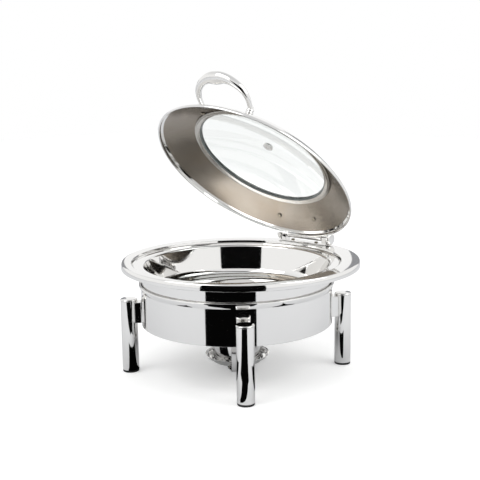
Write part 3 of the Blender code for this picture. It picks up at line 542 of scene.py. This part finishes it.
def make_leg(leg, angle):
    x, y = polar(angle, LEG_CENTRE_R)
    body, steel = "stand", "polished_steel"
    plug_r = BORE_R - GAP
    tube = [(LEG_R, FOOT_BAND + GAP), (LEG_R, LEG_TOP - 4.2), (BORE_R, LEG_TOP - 4.2),
            (BORE_R, FOOT_BAND + GAP)]
    settle(turned("tube_skin_" + leg, tube, mirror_fine, at(x, y, 0), LEG_STEPS), body, steel,
           "leg_tube_" + leg)
    cap = [(0.0, LEG_TOP - 13.0), (plug_r, LEG_TOP - 13.0), (plug_r, LEG_TOP - 3.7, 0.1),
           (LEG_R + 0.5, LEG_TOP - 3.7, 0.4), (LEG_R + 0.5, LEG_TOP - 1.6, 1.2),
           (LEG_R - 0.9, LEG_TOP - 0.4, 2.0), (6.0, LEG_TOP + 0.5, 4.0), (0.0, LEG_TOP + 0.6)]
    settle(turned("cap_skin_" + leg, cap, mirror_fine, at(x, y, 0), LEG_STEPS), body, steel,
           "leg_cap_" + leg)
    foot = [(0.0, 0.0), (LEG_R - 0.6, 0.0, 0.8), (LEG_R - 0.2, FOOT_BAND, 0.3), (plug_r, FOOT_BAND, 0.1),
            (plug_r, 14.0), (0.0, 14.0)]
    settle(turned("foot_skin_" + leg, foot, rubber, at(x, y, 0), LEG_STEPS), body, "foot_rubber",
           "leg_foot_" + leg)
    plan = []
    for k in range(17):
        side = BLOCK_HALF * (1.0 - k / 8.0)
        plan.append(polar(angle, math.sqrt((RING_R + GAP) ** 2 - side ** 2), side))
    for k in range(25):
        side = -BLOCK_HALF * (1.0 - k / 12.0)
        plan.append(polar(angle, LEG_CENTRE_R - math.sqrt((LEG_R + 0.4) ** 2 - side ** 2), side))
    settle(plate("block_skin_" + leg, plan, BLOCK_Z0, BLOCK_Z1, mirror_fine, 0.8), body,
           "satin_steel", "leg_block_" + leg)
    d = (math.cos(math.radians(angle)), math.sin(math.radians(angle)), 0.0)
    bx, by = polar(angle, ring_in - 4.6)
    bolt = [(0.0, 0.0), (3.6, 0.3, 1.0), (5.4, 2.2, 1.0), (5.4, 3.8), (3.0, 3.8), (3.0, 19.0), (0.0, 19.0)]
    settle(turned("bolt_skin_" + leg, bolt, turned_bar, at(bx, by, BOLT_Z, d)), body,
           "satin_steel", "leg_bolt_" + leg)


for leg, angle in LEGS.items():
    make_leg(leg, angle)

# %% [markdown]
# The burner hangs in a U of 2.5 mm strip. Its ends are screwed inside the ring, and it widens
# where the tray sits. Strip is bent round a former, so the corners of its path are rounded
# before the strip's own narrow section is carried along it.

# %% Hanger strap and its screws
STRAP_HALF, STRAP_T = 16.0, 2.5


def make_strap():
    tab = ring_in - 1.4 - STRAP_T / 2.0
    half = [(tab, 114.5), (tab, 101.2, 3.0), (71.0, 101.2, 4.0), (70.0, 98.0, 3.0), (70.0, 13.2, 4.5),
            (46.0, 13.2, 1.0)]
    path = rounded(half + [(-p[0],) + tuple(p[1:]) for p in reversed(half)], False, 2.0, 6)
    bm = bmesh.new()
    rows = []
    for k, (u, z) in enumerate(path):
        here = Vector((u, z))
        before = Vector(path[max(k - 1, 0)])
        after = Vector(path[min(k + 1, len(path) - 1)])
        run = (after - before).normalized()
        across = Vector((-run.y, run.x)) * STRAP_T / 2.0
        half_width = STRAP_HALF if abs(u) > 65.0 else STRAP_HALF + 6.0 * min(1.0, (65.0 - abs(u)) / 19.0)
        row = []
        for side, lift in ((half_width, 1), (-half_width, 1), (-half_width, -1), (half_width, -1)):
            q = here + across * lift
            x, y = polar(-45.0, q.x, side)
            row.append(bm.verts.new((x, y, q.y)))
        rows.append(row)
    for low, high in zip(rows, rows[1:]):
        for k in range(4):
            m = (k + 1) % 4
            bm.faces.new((low[k], low[m], high[m], high[k]))
    bm.faces.new(list(reversed(rows[0])))
    bm.faces.new(rows[-1])
    return bevelled(object_from(bm, "strap_skin", [mirror_fine]), 0.5)


settle(make_strap(), "stand", "satin_steel", "burner_hanger")
for leg in ("front_right", "rear_left"):
    a = LEGS[leg]
    x, y = polar(a, ring_in - 1.4 - STRAP_T - GAP - 2.6)
    d = (math.cos(math.radians(a)), math.sin(math.radians(a)), 0.0)
    screw = [(0.0, 0.0), (3.0, 0.2, 0.8), (4.2, 1.6, 0.6), (4.2, 2.6), (2.0, 2.6), (2.0, 11.0), (0.0, 11.0)]
    settle(turned("strap_screw_skin_" + leg, screw, turned_bar, at(x, y, SCREW_Z, d)), "stand",
           "satin_steel", "hanger_screw_" + leg)

# %% [markdown]
# Tray, cup, cover and damper. The tray is a stepped saucer, whose steps catch the light as
# rings. The fuel sits in a spun cup; the cover plugs its mouth and has a collared port for the
# flame; the damper is a plate that swings over the port on a rivet, moved by its knob.

# %% Burner tray with its screw and nut
BURNER_R, TRAY_Z = 45.0, 16.0
TRAY_R = BURNER_R + 18.0
tray = [(2.4, TRAY_Z, 0.2), (BURNER_R + 1.6, TRAY_Z, 2.0), (BURNER_R + 4.2, TRAY_Z + 5.4, 1.5),
        (BURNER_R + 10.4, TRAY_Z + 6.8, 1.8), (BURNER_R + 13.2, TRAY_Z + 11.6, 2.0),
        (TRAY_R - 0.6, TRAY_Z + 13.8, 0.5), (TRAY_R, TRAY_Z + 12.8, 0.5),
        (BURNER_R + 14.1, TRAY_Z + 10.6, 2.0), (BURNER_R + 11.3, TRAY_Z + 5.6, 1.8),
        (BURNER_R + 5.1, TRAY_Z + 4.2, 1.5), (BURNER_R + 2.5, TRAY_Z - 1.2, 2.0), (2.4, TRAY_Z - 1.2, 0.2)]
settle(turned("tray_skin", tray, mirror, at(0, AXIS, 0), 128), "stand", "polished_steel", "burner_tray")
tray_screw = [(0.0, 0.0), (2.0, 0.0), (2.0, 8.7), (4.6, 8.7), (4.6, 9.7, 0.8), (3.0, 10.8, 1.0), (0.0, 11.2)]
settle(turned("tray_screw_skin", tray_screw, turned_bar, at(0, AXIS, TRAY_Z - 8.4)), "stand",
       "satin_steel", "tray_screw")
frame["nodes"]["tray_nut"].data.materials.clear()
frame["nodes"]["tray_nut"].data.materials.append(turned_bar)

# %% Burner cup, cover, rivet, damper and knob
BURNER_Z0, BURNER_Z1, PORT_R = TRAY_Z + GAP, 78.0, 22.0
DAMPER_Z, DAMPER_T, RIVET_HOLE_R = BURNER_Z1 + 6.4, 1.2, 2.2
cup = [(0.0, BURNER_Z0 + 4.3), (BURNER_R - 7.0, BURNER_Z0 + 4.3, 1.5), (BURNER_R - 5.0, BURNER_Z0, 0.8),
       (BURNER_R - 1.0, BURNER_Z0, 1.5), (BURNER_R, BURNER_Z0 + 2.3, 1.0), (BURNER_R, BURNER_Z1, 0.3),
       (BURNER_R - 1.4, BURNER_Z1, 0.3), (BURNER_R - 1.4, BURNER_Z0 + 3.1),
       (BURNER_R - 4.4, BURNER_Z0 + 2.9), (BURNER_R - 6.0, BURNER_Z0 + 5.7), (0.0, BURNER_Z0 + 5.7)]
settle(turned("cup_skin", cup, mirror, at(0, AXIS, 0), 128), "burner", "satin_steel", "burner_cup")
plug_out, plug_in, seat = BURNER_R - 1.8, BURNER_R - 3.0, BURNER_Z1 + GAP
cover = [(PORT_R + 2.0, BURNER_Z1 + 1.8, 0.8), (BURNER_R + 0.8, BURNER_Z1 + 1.8, 0.7),
         (BURNER_R + 0.8, seat, 0.5), (plug_out, seat, 0.3), (plug_out, BURNER_Z1 - 4.0, 0.3),
         (plug_in, BURNER_Z1 - 4.0, 0.3), (plug_in, seat, 0.3), (PORT_R, seat, 0.4),
         (PORT_R, BURNER_Z1 + 5.6, 0.4), (PORT_R + 1.4, BURNER_Z1 + 5.6, 0.4)]
settle(turned("cover_skin", cover, mirror_fine, at(0, AXIS, 0), 128), "burner", "satin_steel",
       "burner_cover")
PIVOT_DEG, PIVOT_REACH, EAR_R, DAMPER_R = 225.0, 36.0, 6.5, 25.5
px, py = polar(PIVOT_DEG, PIVOT_REACH)
rivet = [(0.0, 0.0), (3.4, 0.0), (3.4, 1.2), (1.8, 1.2), (1.8, 9.4), (3.6, 9.4), (3.4, 10.6, 0.8),
         (0.0, 11.4)]
settle(turned("damper_rivet_skin", rivet, turned_bar, at(px, py, BURNER_Z1 - 1.4)), "burner",
       "satin_steel", "damper_pivot")
neck = math.degrees(math.acos((DAMPER_R - EAR_R) / PIVOT_REACH))
damper_outline = []
for k in range(61):
    a = math.radians(PIVOT_DEG + neck + (360.0 - 2.0 * neck) * k / 60.0)
    damper_outline.append((DAMPER_R * math.cos(a), AXIS + DAMPER_R * math.sin(a)))
for k in range(13):
    a = math.radians(PIVOT_DEG - neck + 2.0 * neck * k / 12.0)
    damper_outline.append((px + EAR_R * math.cos(a), py + EAR_R * math.sin(a)))
damper = plate("damper_skin", damper_outline, DAMPER_Z, DAMPER_Z + DAMPER_T, satin_plate, 0.3)
bored(damper, RIVET_HOLE_R, (px, py, DAMPER_Z - 4.4), (px, py, DAMPER_Z + 5.6))
settle(damper, "damper", "satin_steel", "burner_damper")
knob = [(0.0, 0.0), (5.0, 0.0, 0.5), (4.0, 3.0, 2.5), (6.0, 9.0, 1.5), (4.6, 11.2, 1.2), (0.0, 11.4)]
kx, ky = polar(PIVOT_DEG + 180.0, 10.0)
settle(turned("damper_knob_skin", knob, turned_bar, at(kx, ky, DAMPER_Z + DAMPER_T + GAP)), "damper",
       "satin_steel", "damper_knob")

# %% [markdown]
# The water pan carries everything above it: a shoulder that sits on the ring's ledge, a recess
# that the food pan's rim drops into, a wide flat rim and a skirt that curls down round it. The
# rim is wider at the back, where the hinge stands, because its circle is centred further back.

# %% Water pan
SHEET, PAN_FLOOR_Z, RIM_Z, RIM_R, SEAT_R, SEAT_Z = 1.4, 118.0, 215.0, 228.3, 200.2, 208.0
SKIRT_Z = RIM_Z - 13.0
WALL_OUT, LOWER_OUT = RING_R - 2.1, RING_R - 8.6
low_in, top_in = LOWER_OUT - SHEET, WALL_OUT - SHEET
water_outline = [
    (0.0, PAN_FLOOR_Z + SHEET), (LOWER_OUT - 14.0, PAN_FLOOR_Z + SHEET, 4.0),
    (LOWER_OUT - 4.5, PAN_FLOOR_Z + 6.5, 4.0), (low_in, PAN_FLOOR_Z + 16.0, 4.0),
    (low_in, LEDGE_Z + 1.7, 0.4), (top_in, LEDGE_Z + 2.4, 0.6), (top_in, SEAT_Z - 2.4, 1.2),
    (WALL_OUT + 1.1, SEAT_Z, 1.5), (SEAT_R - 0.4, SEAT_Z, 0.5), (SEAT_R, RIM_Z - 0.4, 0.4),
    (SEAT_R + 1.0, RIM_Z, 0.6), (RIM_R - 1.4, RIM_Z, 2.2, "rim"), (RIM_R + 0.5, RIM_Z - 6.0, 3.0, "rim"),
    (RIM_R + 0.5, SKIRT_Z + 0.6, 0.7, "rim"), (RIM_R - 1.0, SKIRT_Z + 0.1, 0.7, "rim"),
    (RIM_R - 0.9, RIM_Z - 4.0, 1.5, "rim"), (RIM_R - 3.2, RIM_Z - SHEET, 1.5, "rim"),
    (SEAT_R + 1.4, RIM_Z - SHEET, 0.4), (SEAT_R + 0.8, SEAT_Z - SHEET, 0.4),
    (WALL_OUT + 1.9, SEAT_Z - SHEET, 1.2), (WALL_OUT, SEAT_Z - 3.6, 1.5), (WALL_OUT, LEDGE_Z + 1.2, 0.4),
    (LOWER_OUT, LEDGE_Z + GAP, 0.4), (LOWER_OUT, PAN_FLOOR_Z + 15.4, 4.0),
    (LOWER_OUT - 3.6, PAN_FLOOR_Z + 5.4, 4.0), (LOWER_OUT - 13.4, PAN_FLOOR_Z, 4.0), (0.0, PAN_FLOOR_Z)]
water = turned("water_pan_skin", water_outline, mirror, at(0, AXIS, 0), BIG_STEPS)
settle(water, "water_pan", "polished_steel", "water_pan")

# %% [markdown]
# The food pan is pressed deeper than wide sheet likes to go, so its walls slope and its floor
# has a soft corner. Its rim is rolled, and shows as a bright line inside the recess.

# %% Food pan
FOOD_Z, FOOD_FLOOR_Z, FOOD_SHEET = SEAT_Z + GAP, 147.0, 1.2
FOOD_RIM_R, FOOD_OPEN_R = 198.0, WALL_OUT - 1.5
food_outline = [
    (0.0, FOOD_FLOOR_Z + FOOD_SHEET), (FOOD_OPEN_R - 30.0, FOOD_FLOOR_Z + FOOD_SHEET, 8.0),
    (FOOD_OPEN_R - 19.0, FOOD_FLOOR_Z + 4.6, 6.0), (FOOD_OPEN_R - 14.4, FOOD_FLOOR_Z + 13.0, 6.0),
    (FOOD_OPEN_R - 3.4, SEAT_Z - 0.6, 2.5), (FOOD_OPEN_R + 0.6, FOOD_Z + FOOD_SHEET, 1.8),
    (FOOD_RIM_R - 2.2, FOOD_Z + FOOD_SHEET, 0.5), (FOOD_RIM_R - 1.0, FOOD_Z + 2.5, 0.5),
    (FOOD_RIM_R, FOOD_Z + 1.4, 0.5), (FOOD_RIM_R - 0.6, FOOD_Z, 0.4), (FOOD_OPEN_R + 1.6, FOOD_Z, 1.5),
    (FOOD_OPEN_R - 2.1, SEAT_Z - 2.0, 2.5), (FOOD_OPEN_R - 13.0, FOOD_FLOOR_Z + 12.4, 6.0),
    (FOOD_OPEN_R - 17.8, FOOD_FLOOR_Z + 3.7, 6.0), (FOOD_OPEN_R - 29.4, FOOD_FLOOR_Z, 8.0),
    (0.0, FOOD_FLOOR_Z)]
food = turned("food_pan_skin", food_outline, mirror, at(0, AXIS, 0), BIG_STEPS)
settle(food, "food_pan", "polished_steel", "food_pan")

# %% [markdown]
# The lid is built shut, in its own frame with its axis as local Z, and then its object is
# turned open about the hinge. The mesh stays square to its own axis, so the satin rings stay
# centred on the lid. The open angle is read from the joint: its lower limit is the shut lid.

# %% Lid frame, shell, glass, gasket and clamping ring
hinge = next(j for j in frame["record"]["behaviour"]["joints"] if j["name"] == "lid_hinge")
HINGE = Vector(hinge["pos_m"])
OPEN = math.radians(-hinge["range_deg"][0])
LID_Z, LID_R, LID_HEIGHT, LID_SHEET = RIM_Z + GAP, 204.4, 77.0, 1.2
EDGE_R, EDGE_Z = LID_R - 2.2, 6.6
rise = LID_HEIGHT - EDGE_Z
DOME_R = (EDGE_R ** 2 + rise ** 2) / (2.0 * rise)
open_turn = (Matrix.Translation(HINGE) @ Matrix.Rotation(-OPEN, 4, "X") @ Matrix.Translation(-HINGE)
             @ Matrix.Translation(Vector((0.0, AXIS_Y, LID_Z * MM))))
WINDOW_R, GLASS = 131.6, 4.0
HOLE_R = WINDOW_R + 6.8
LIP_R = 196.8             # outside this the lid's inside is buffed as well


def dome(r, offset=0.0):
    """Height of the dome above the lid's edge at radius r, grown outward by offset."""
    return LID_HEIGHT - DOME_R + math.sqrt((DOME_R + offset) ** 2 - r * r)


def dome_point(x, y, offset=0.0):
    z = dome(math.hypot(x, y), offset)
    return Vector((x, y, z)), Vector((x, y, z - (LID_HEIGHT - DOME_R))).normalized()


def lid_piece(name, points, mats, slot, nodes, steps=BIG_STEPS, default=0.4, sharp_deg=40.0):
    closed = not (points[0][0] == 0.0 and points[-1][0] == 0.0)
    bm = sweep(rounded(points, closed, default), steps, closed)
    piece = object_from(bm, name, mats, open_turn, sharp_deg)
    return settle(piece, "lid", slot, *nodes)


def make_shell():
    arc = [HOLE_R + (EDGE_R - HOLE_R) * k / 24.0 for k in range(24)]
    points = [(LID_R - 2.0, 0.0, 0.3), (LID_R - 0.4, 0.2, 0.8), (LID_R, 2.1, 0.9),
              (LID_R - 0.4, 4.2, 1.0), (EDGE_R, EDGE_Z, 0.8)]
    points += [(r, dome(r), 0.0) for r in reversed(arc)]
    points += [(r, dome(r, -LID_SHEET), 0.0) for r in arc]
    points += [(EDGE_R - 1.2, EDGE_Z - 0.6, 0.5), (EDGE_R - 1.2, 1.0, 0.5)]
    shell = lid_piece("lid_shell_skin", points, [mirror, satin_inside], "polished_steel",
                      ["lid_shell"])
    centre = Vector((0.0, 0.0, (LID_HEIGHT - DOME_R) * MM))
    inner = 0
    for face in shell.data.polygons:
        mid = face.center
        inside = (mid - centre).length < (DOME_R - LID_SHEET * 0.6) * MM
        if inside and mid.z > EDGE_Z * MM * 0.9 and math.hypot(mid.x, mid.y) < LIP_R * MM:
            face.material_index = 1
            inner += 1
    print("lid shell: satin faces", inner, "of", len(shell.data.polygons))


make_shell()
glass_r = [(WINDOW_R + 4.4) * k / 20.0 for k in range(1, 21)]
glass_points = [(5.4, dome(5.4, -0.3), 0.3)] + [(r, dome(r, -0.3), 0.0) for r in glass_r[1:-1]]
glass_points += [(glass_r[-1], dome(glass_r[-1], -0.3), 0.6),
                 (glass_r[-1], dome(glass_r[-1], -0.3 - GLASS), 0.6)]
glass_points += [(r, dome(r, -0.3 - GLASS), 0.0) for r in reversed(glass_r[1:-1])]
glass_points += [(5.4, dome(5.4, -0.3 - GLASS), 0.3)]
lid_piece("window_skin", glass_points, [glass], "window_glass", ["lid_window"])
g_in, g_out, g_slot = WINDOW_R, HOLE_R - 0.3, WINDOW_R + 4.7
gasket = [(r, dome(r, depth), edge) for r, depth, edge in
          ((g_in, 1.0, 0.5), (g_out, 1.0, 0.5), (g_out, -5.8, 0.5), (g_in, -5.8, 0.5),
           (g_in, -4.6, 0.2), (g_slot, -4.6, 0.1), (g_slot, 0.0, 0.1), (g_in, 0.0, 0.2))]
lid_piece("gasket_skin", gasket, [silicone], "gasket_silicone", ["window_gasket"])
clamp = [(WINDOW_R + out, dome(WINDOW_R + out, depth), edge) for out, depth, edge in
         ((1.8, -6.1, 0.4), (7.6, -6.1, 0.6), (8.2, -1.6, 0.5), (12.3, -1.6, 0.4), (12.3, -2.7, 0.4),
          (9.4, -2.7, 0.8), (8.8, -7.2, 0.8), (1.8, -7.2, 0.5))]
lid_piece("clamp_ring_skin", clamp, [satin_plate], "satin_steel", ["window_ring"])
crown = dome(0.0, -0.3)
v0, v1 = crown - GLASS - 1.7, crown + 0.3
vent = [(3.2, v0, 0.3), (10.0, v0, 0.4), (10.0, v0 + 1.2, 0.5), (5.0, v0 + 1.4, 0.1), (5.0, v1, 0.1),
        (10.0, v1 + 0.1, 0.3), (8.8, v1 + 1.6, 0.8), (3.2, v1 + 1.6, 0.5)]
lid_piece("vent_skin", vent, [mirror_fine], "polished_steel", ["steam_vent"], SMALL_STEPS)

# %% [markdown]
# The hinge. A base plate screwed to the rim carries two round-topped posts; the pin runs
# through them and through the lid's barrel, and a polished disc closes each end. The leaf is
# sheet that follows the dome and runs back into the barrel, riveted on from outside.

# %% Hinge base, pin, discs and screws
HINGE_Y, HINGE_Z = HINGE.y / MM, HINGE.z / MM
BARREL_HALF, BARREL_R, PIN_R, DISC_R, DISC_FACE = 44.0, 7.0, 3.0, 12.5, 67.5
POST_IN, POST_OUT, POST_R, BASE_SCREW_X = BARREL_HALF + 2.0, 57.8, BARREL_R + 0.2, 30.0
base_z = RIM_Z + GAP


def make_hinge_base():
    half, y_in, y_out = POST_OUT + 0.2, HINGE_Y - 13.6, HINGE_Y + 7.8
    outline = [(-half, y_in + 4.4), (4.0 - half, y_in), (half - 4.0, y_in), (half, y_in + 4.4),
               (half, y_out - 4.0), (half - 4.0, y_out), (4.0 - half, y_out), (-half, y_out - 4.0)]
    base = plate("hinge_base_skin", outline, base_z, base_z + 2.5, mirror_fine, 0.8)
    settle(base, "water_pan", "polished_steel", "hinge_base")
    for s, side in ((-1.0, "left"), (1.0, "right")):
        bm = bmesh.new()
        rows = []
        for x in (POST_IN, POST_OUT):
            arc = [(-POST_R, base_z + 1.0 - HINGE_Z)]
            arc += [(POST_R * math.cos(math.pi - math.pi * k / 24.0),
                     POST_R * math.sin(math.pi - math.pi * k / 24.0)) for k in range(25)]
            arc += [(POST_R, base_z + 1.0 - HINGE_Z)]
            rows.append([bm.verts.new((s * x, HINGE_Y + u, HINGE_Z + w)) for u, w in arc])
        count = len(rows[0])
        for k in range(count):
            m = (k + 1) % count
            bm.faces.new((rows[0][k], rows[0][m], rows[1][m], rows[1][k]))
        bm.faces.new(list(reversed(rows[0])))
        bm.faces.new(rows[1])
        post = bevelled(object_from(bm, "hinge_post_" + side, [mirror_fine]), 0.8)
        settle(post, "water_pan", "polished_steel", "hinge_base")
        disc = [(0.0, 4.9), (3.1, 4.9), (3.1, 0.0), (DISC_R - 0.8, 0.0, 0.8), (DISC_R, 1.2, 0.8),
                (DISC_R, 6.6, 1.6), (DISC_R - 2.6, 8.8, 2.4), (0.0, 9.1)]
        place = at(s * (DISC_FACE - 9.1), HINGE_Y, HINGE_Z, (s, 0.0, 0.0))
        settle(turned("disc_skin_" + side, disc, mirror_fine, place, LEG_STEPS), "water_pan",
               "polished_steel", "hinge_disc_" + side)
        screw = [(0.0, 0.0), (2.0, 0.0), (2.0, 9.1), (3.9, 9.1), (3.9, 9.8, 0.5), (2.4, 10.9, 1.2),
                 (0.0, 11.2)]
        place = at(s * BASE_SCREW_X, HINGE_Y - 3.0, base_z + 2.5 + GAP - 9.1)
        settle(turned("base_screw_skin_" + side, screw, turned_bar, place), "water_pan",
               "satin_steel", "hinge_screw_" + side)
    pin_half = DISC_FACE - 4.5
    pin = [(0.0, 0.0), (PIN_R, 0.0, 0.4), (PIN_R, 2.0 * pin_half, 0.4), (0.0, 2.0 * pin_half)]
    settle(turned("pin_skin", pin, turned_bar, at(-pin_half, HINGE_Y, HINGE_Z, (1.0, 0.0, 0.0))),
           "water_pan", "satin_steel", "hinge_pin")


make_hinge_base()

# %% Hinge leaf with its barrel, and its rivets
LEAF_T = 2.6
BACK_Y = HINGE_Y - AXIS                          # the pin, from the lid's centre
LEAF_Y, LIFT_Y = LID_R - 44.4, LID_R - 7.4       # the leaf's tip, and where it leaves the dome
RIVET_X, RIVET_Y = BARREL_HALF + 0.3, LID_R - 34.4


def smoothstep(t):
    t = max(0.0, min(1.0, t))
    return t * t * (3.0 - 2.0 * t)


def leaf_half(y):
    """Half width of the leaf at y from the lid's centre."""
    wide, neck_y = BARREL_HALF + 8.0, LID_R - 8.4
    if y > neck_y:
        return wide - 12.0 * smoothstep((y - neck_y) / 12.0)
    t = max(0.0, min(1.0, (LEAF_Y + 12.0 - y) / 12.0))
    return wide - 9.0 * (1.0 - math.sqrt(1.0 - t * t * 0.98))


def make_leaf():
    count, across = 40, 32
    rows = []
    bm = bmesh.new()
    for j in range(count + 1):
        y = LEAF_Y + (BACK_Y - 3.5 - LEAF_Y) * j / count
        w = leaf_half(y)
        near = min(y, LIFT_Y)
        t = max(0.0, (y - LIFT_Y) / (BACK_Y - 3.5 - LIFT_Y))
        flat = HINGE_Z - LID_Z + BARREL_R - 4.2
        under, over = [], []
        for k in range(across + 1):
            x = w * (2.0 * k / across - 1.0)
            low = dome_point(x, near, 0.3)[0].z * (1.0 - t) + (flat - 1.0) * t
            high = dome_point(x, near, 0.3 + LEAF_T)[0].z * (1.0 - t) + (flat + LEAF_T - 0.4) * t
            under.append(bm.verts.new((x, y, low)))
            over.append(bm.verts.new((x, y, high)))
        rows.append(under + list(reversed(over)))
    size = len(rows[0])
    for low, high in zip(rows, rows[1:]):
        for k in range(size):
            m = (k + 1) % size
            bm.faces.new((low[k], low[m], high[m], high[k]))
    bm.faces.new(list(reversed(rows[0])))
    bm.faces.new(rows[-1])
    leaf = bevelled(object_from(bm, "leaf_skin", [mirror_fine], open_turn), 0.6, 2)
    settle(leaf, "lid", "polished_steel", "hinge_leaf")
    barrel = [(PIN_R + GAP, 0.0, 0.3), (BARREL_R, 0.0, 0.8), (BARREL_R, 2.0 * BARREL_HALF, 0.8),
              (PIN_R + GAP, 2.0 * BARREL_HALF, 0.3)]
    place = at(-BARREL_HALF, HINGE_Y, HINGE_Z, (1.0, 0.0, 0.0))
    settle(turned("barrel_skin", barrel, mirror_fine, place, LEG_STEPS), "lid", "polished_steel",
           "hinge_leaf")


make_leaf()


def on_dome(x, y, offset):
    """Place in the lid's frame, offset along the dome's normal, facing outward."""
    point, normal = dome_point(x, y)
    turn = Vector((0.0, 0.0, 1.0)).rotation_difference(normal).to_matrix().to_4x4()
    return open_turn @ Matrix.Translation((point + normal * offset) * MM) @ turn


for s, side in ((-1.0, "left"), (1.0, "right")):
    rivet = [(0.0, 0.0), (3.4, 0.6, 1.4), (4.8, 2.8, 0.5), (2.5, 2.8, 0.1), (2.5, 8.0, 0.1),
             (4.6, 8.0, 0.4), (3.4, 9.6, 1.2), (0.0, 10.2)]
    place = on_dome(s * RIVET_X, RIVET_Y, -(LID_SHEET + 0.6 + 2.8))
    settle(turned("rivet_skin_" + side, rivet, turned_bar, place), "lid", "polished_steel",
           "leaf_rivet_" + side)

# %% [markdown]
# The handle is an investment casting, polished by hand: slim legs, a thick middle and a swell
# underneath that fits the fingers. Its centre line is a short list of stations, each with the
# metal's reach outward, inward and sideways, and a smooth curve runs through the stations. Its
# mesh is turned open with the lid before its object is made, so its box stays tight.

# %% Handle with collars and screws
FEET_HALF, FEET_BACK, RAKE, COLLAR_H = 56.8, 138.0, math.radians(69.0), 9.0
GRIP_SIDES, GRIP_FILL = 40, 8


def through(values, t):
    """Catmull-Rom curve through a list of vectors, at t in 0..len-1."""
    k = min(int(t), len(values) - 2)
    u = t - k
    p1, p2 = values[k], values[k + 1]
    p0 = values[k - 1] if k else p1 * 2.0 - p2
    p3 = values[k + 2] if k + 2 < len(values) else p2 * 2.0 - p1
    return 0.5 * (2.0 * p1 + (p2 - p0) * u + (2.0 * p0 - 5.0 * p1 + 4.0 * p2 - p3) * u ** 2
                  + (3.0 * p1 - p0 - 3.0 * p2 + p3) * u ** 3)


def make_handle():
    foot, foot_n = dome_point(FEET_HALF, -FEET_BACK, 0.3)
    top = foot + foot_n * (COLLAR_H + 0.3)
    up = Vector((0.0, -math.sin(RAKE), math.cos(RAKE)))
    arch_n = Vector((0.0, -math.cos(RAKE), -math.sin(RAKE)))
    base = Vector((0.0, top.y, top.z))
    half = [(58.6, 5.0, 4.3, 4.3, 4.6), (59.2, 13.0, 4.2, 4.2, 4.8), (58.8, 23.0, 4.6, 4.6, 5.4),
            (54.8, 35.0, 5.6, 5.6, 6.4), (46.0, 46.0, 7.0, 6.6, 7.4), (34.0, 54.8, 8.4, 7.6, 8.2),
            (21.0, 60.8, 9.4, 10.5, 8.8), (10.0, 63.2, 10.2, 14.0, 9.2), (0.0, 63.6, 10.3, 15.0, 9.4)]
    line = [top] + [base + Vector((s[0], 0.0, 0.0)) + up * s[1] for s in half]
    sizes = [Vector((5.2, 5.2, 5.2))] + [Vector(s[2:]) for s in half]
    line += [Vector((-p.x, p.y, p.z)) for p in reversed(line[:-1])]
    sizes += list(reversed(sizes[:-1]))
    total = (len(line) - 1) * GRIP_FILL
    bm = bmesh.new()
    rows = []
    for j in range(total + 1):
        t = j / GRIP_FILL
        here = through(line, t)
        ahead, behind = through(line, min(t + 0.02, len(line) - 1)), through(line, max(t - 0.02, 0.0))
        run = (ahead - behind).normalized()
        out, inward, thick = through(sizes, t)
        if j in (0, total):
            run = foot_n if j == 0 else Vector((foot_n.x, -foot_n.y, -foot_n.z))
        away = run.cross(arch_n)
        away = (away - run * away.dot(run)).normalized()
        middle = base + up * 30.0
        if away.dot(here - middle) < 0.0:
            away = -away
        side = run.cross(away).normalized()
        row = []
        for k in range(GRIP_SIDES):
            a = 2.0 * math.pi * k / GRIP_SIDES
            c = math.cos(a)
            row.append(bm.verts.new(here + away * (c * (out if c > 0.0 else inward))
                                    + side * (math.sin(a) * thick)))
        rows.append(row)
    for low, high in zip(rows, rows[1:]):
        for k in range(GRIP_SIDES):
            m = (k + 1) % GRIP_SIDES
            bm.faces.new((low[k], low[m], high[m], high[k]))
    bm.faces.new(list(reversed(rows[0])))
    bm.faces.new(rows[-1])
    to_mm = Matrix.Diagonal((MM, MM, MM, 1.0))
    bmesh.ops.transform(bm, matrix=to_mm.inverted() @ open_turn @ to_mm, verts=bm.verts)
    grip = object_from(bm, "handle_skin", [mirror_fine])
    settle(grip, "lid", "polished_steel", "lid_handle")


make_handle()
for s, side in ((-1.0, "left"), (1.0, "right")):
    collar = [(2.3, 0.0), (7.4, 0.2, 0.8), (7.4, 2.2, 0.9), (5.6, 3.2, 0.9), (6.9, 4.8, 1.2),
              (6.9, 6.6, 1.2), (5.4, COLLAR_H, 0.8), (2.3, COLLAR_H)]
    settle(turned("collar_skin_" + side, collar, mirror_fine, on_dome(s * FEET_HALF, -FEET_BACK, 0.3),
                  LEG_STEPS), "lid", "polished_steel", "handle_collar_" + side)
    screw = [(0.0, 0.0), (3.2, 0.3, 1.0), (4.6, 1.8, 0.6), (4.6, 2.6, 0.2), (2.0, 2.6), (2.0, 19.0),
             (0.0, 19.0)]
    place = on_dome(s * FEET_HALF, -FEET_BACK, -(LID_SHEET + 0.6 + 2.6))
    settle(turned("handle_screw_skin_" + side, screw, turned_bar, place), "lid", "satin_steel",
           "handle_screw_" + side)
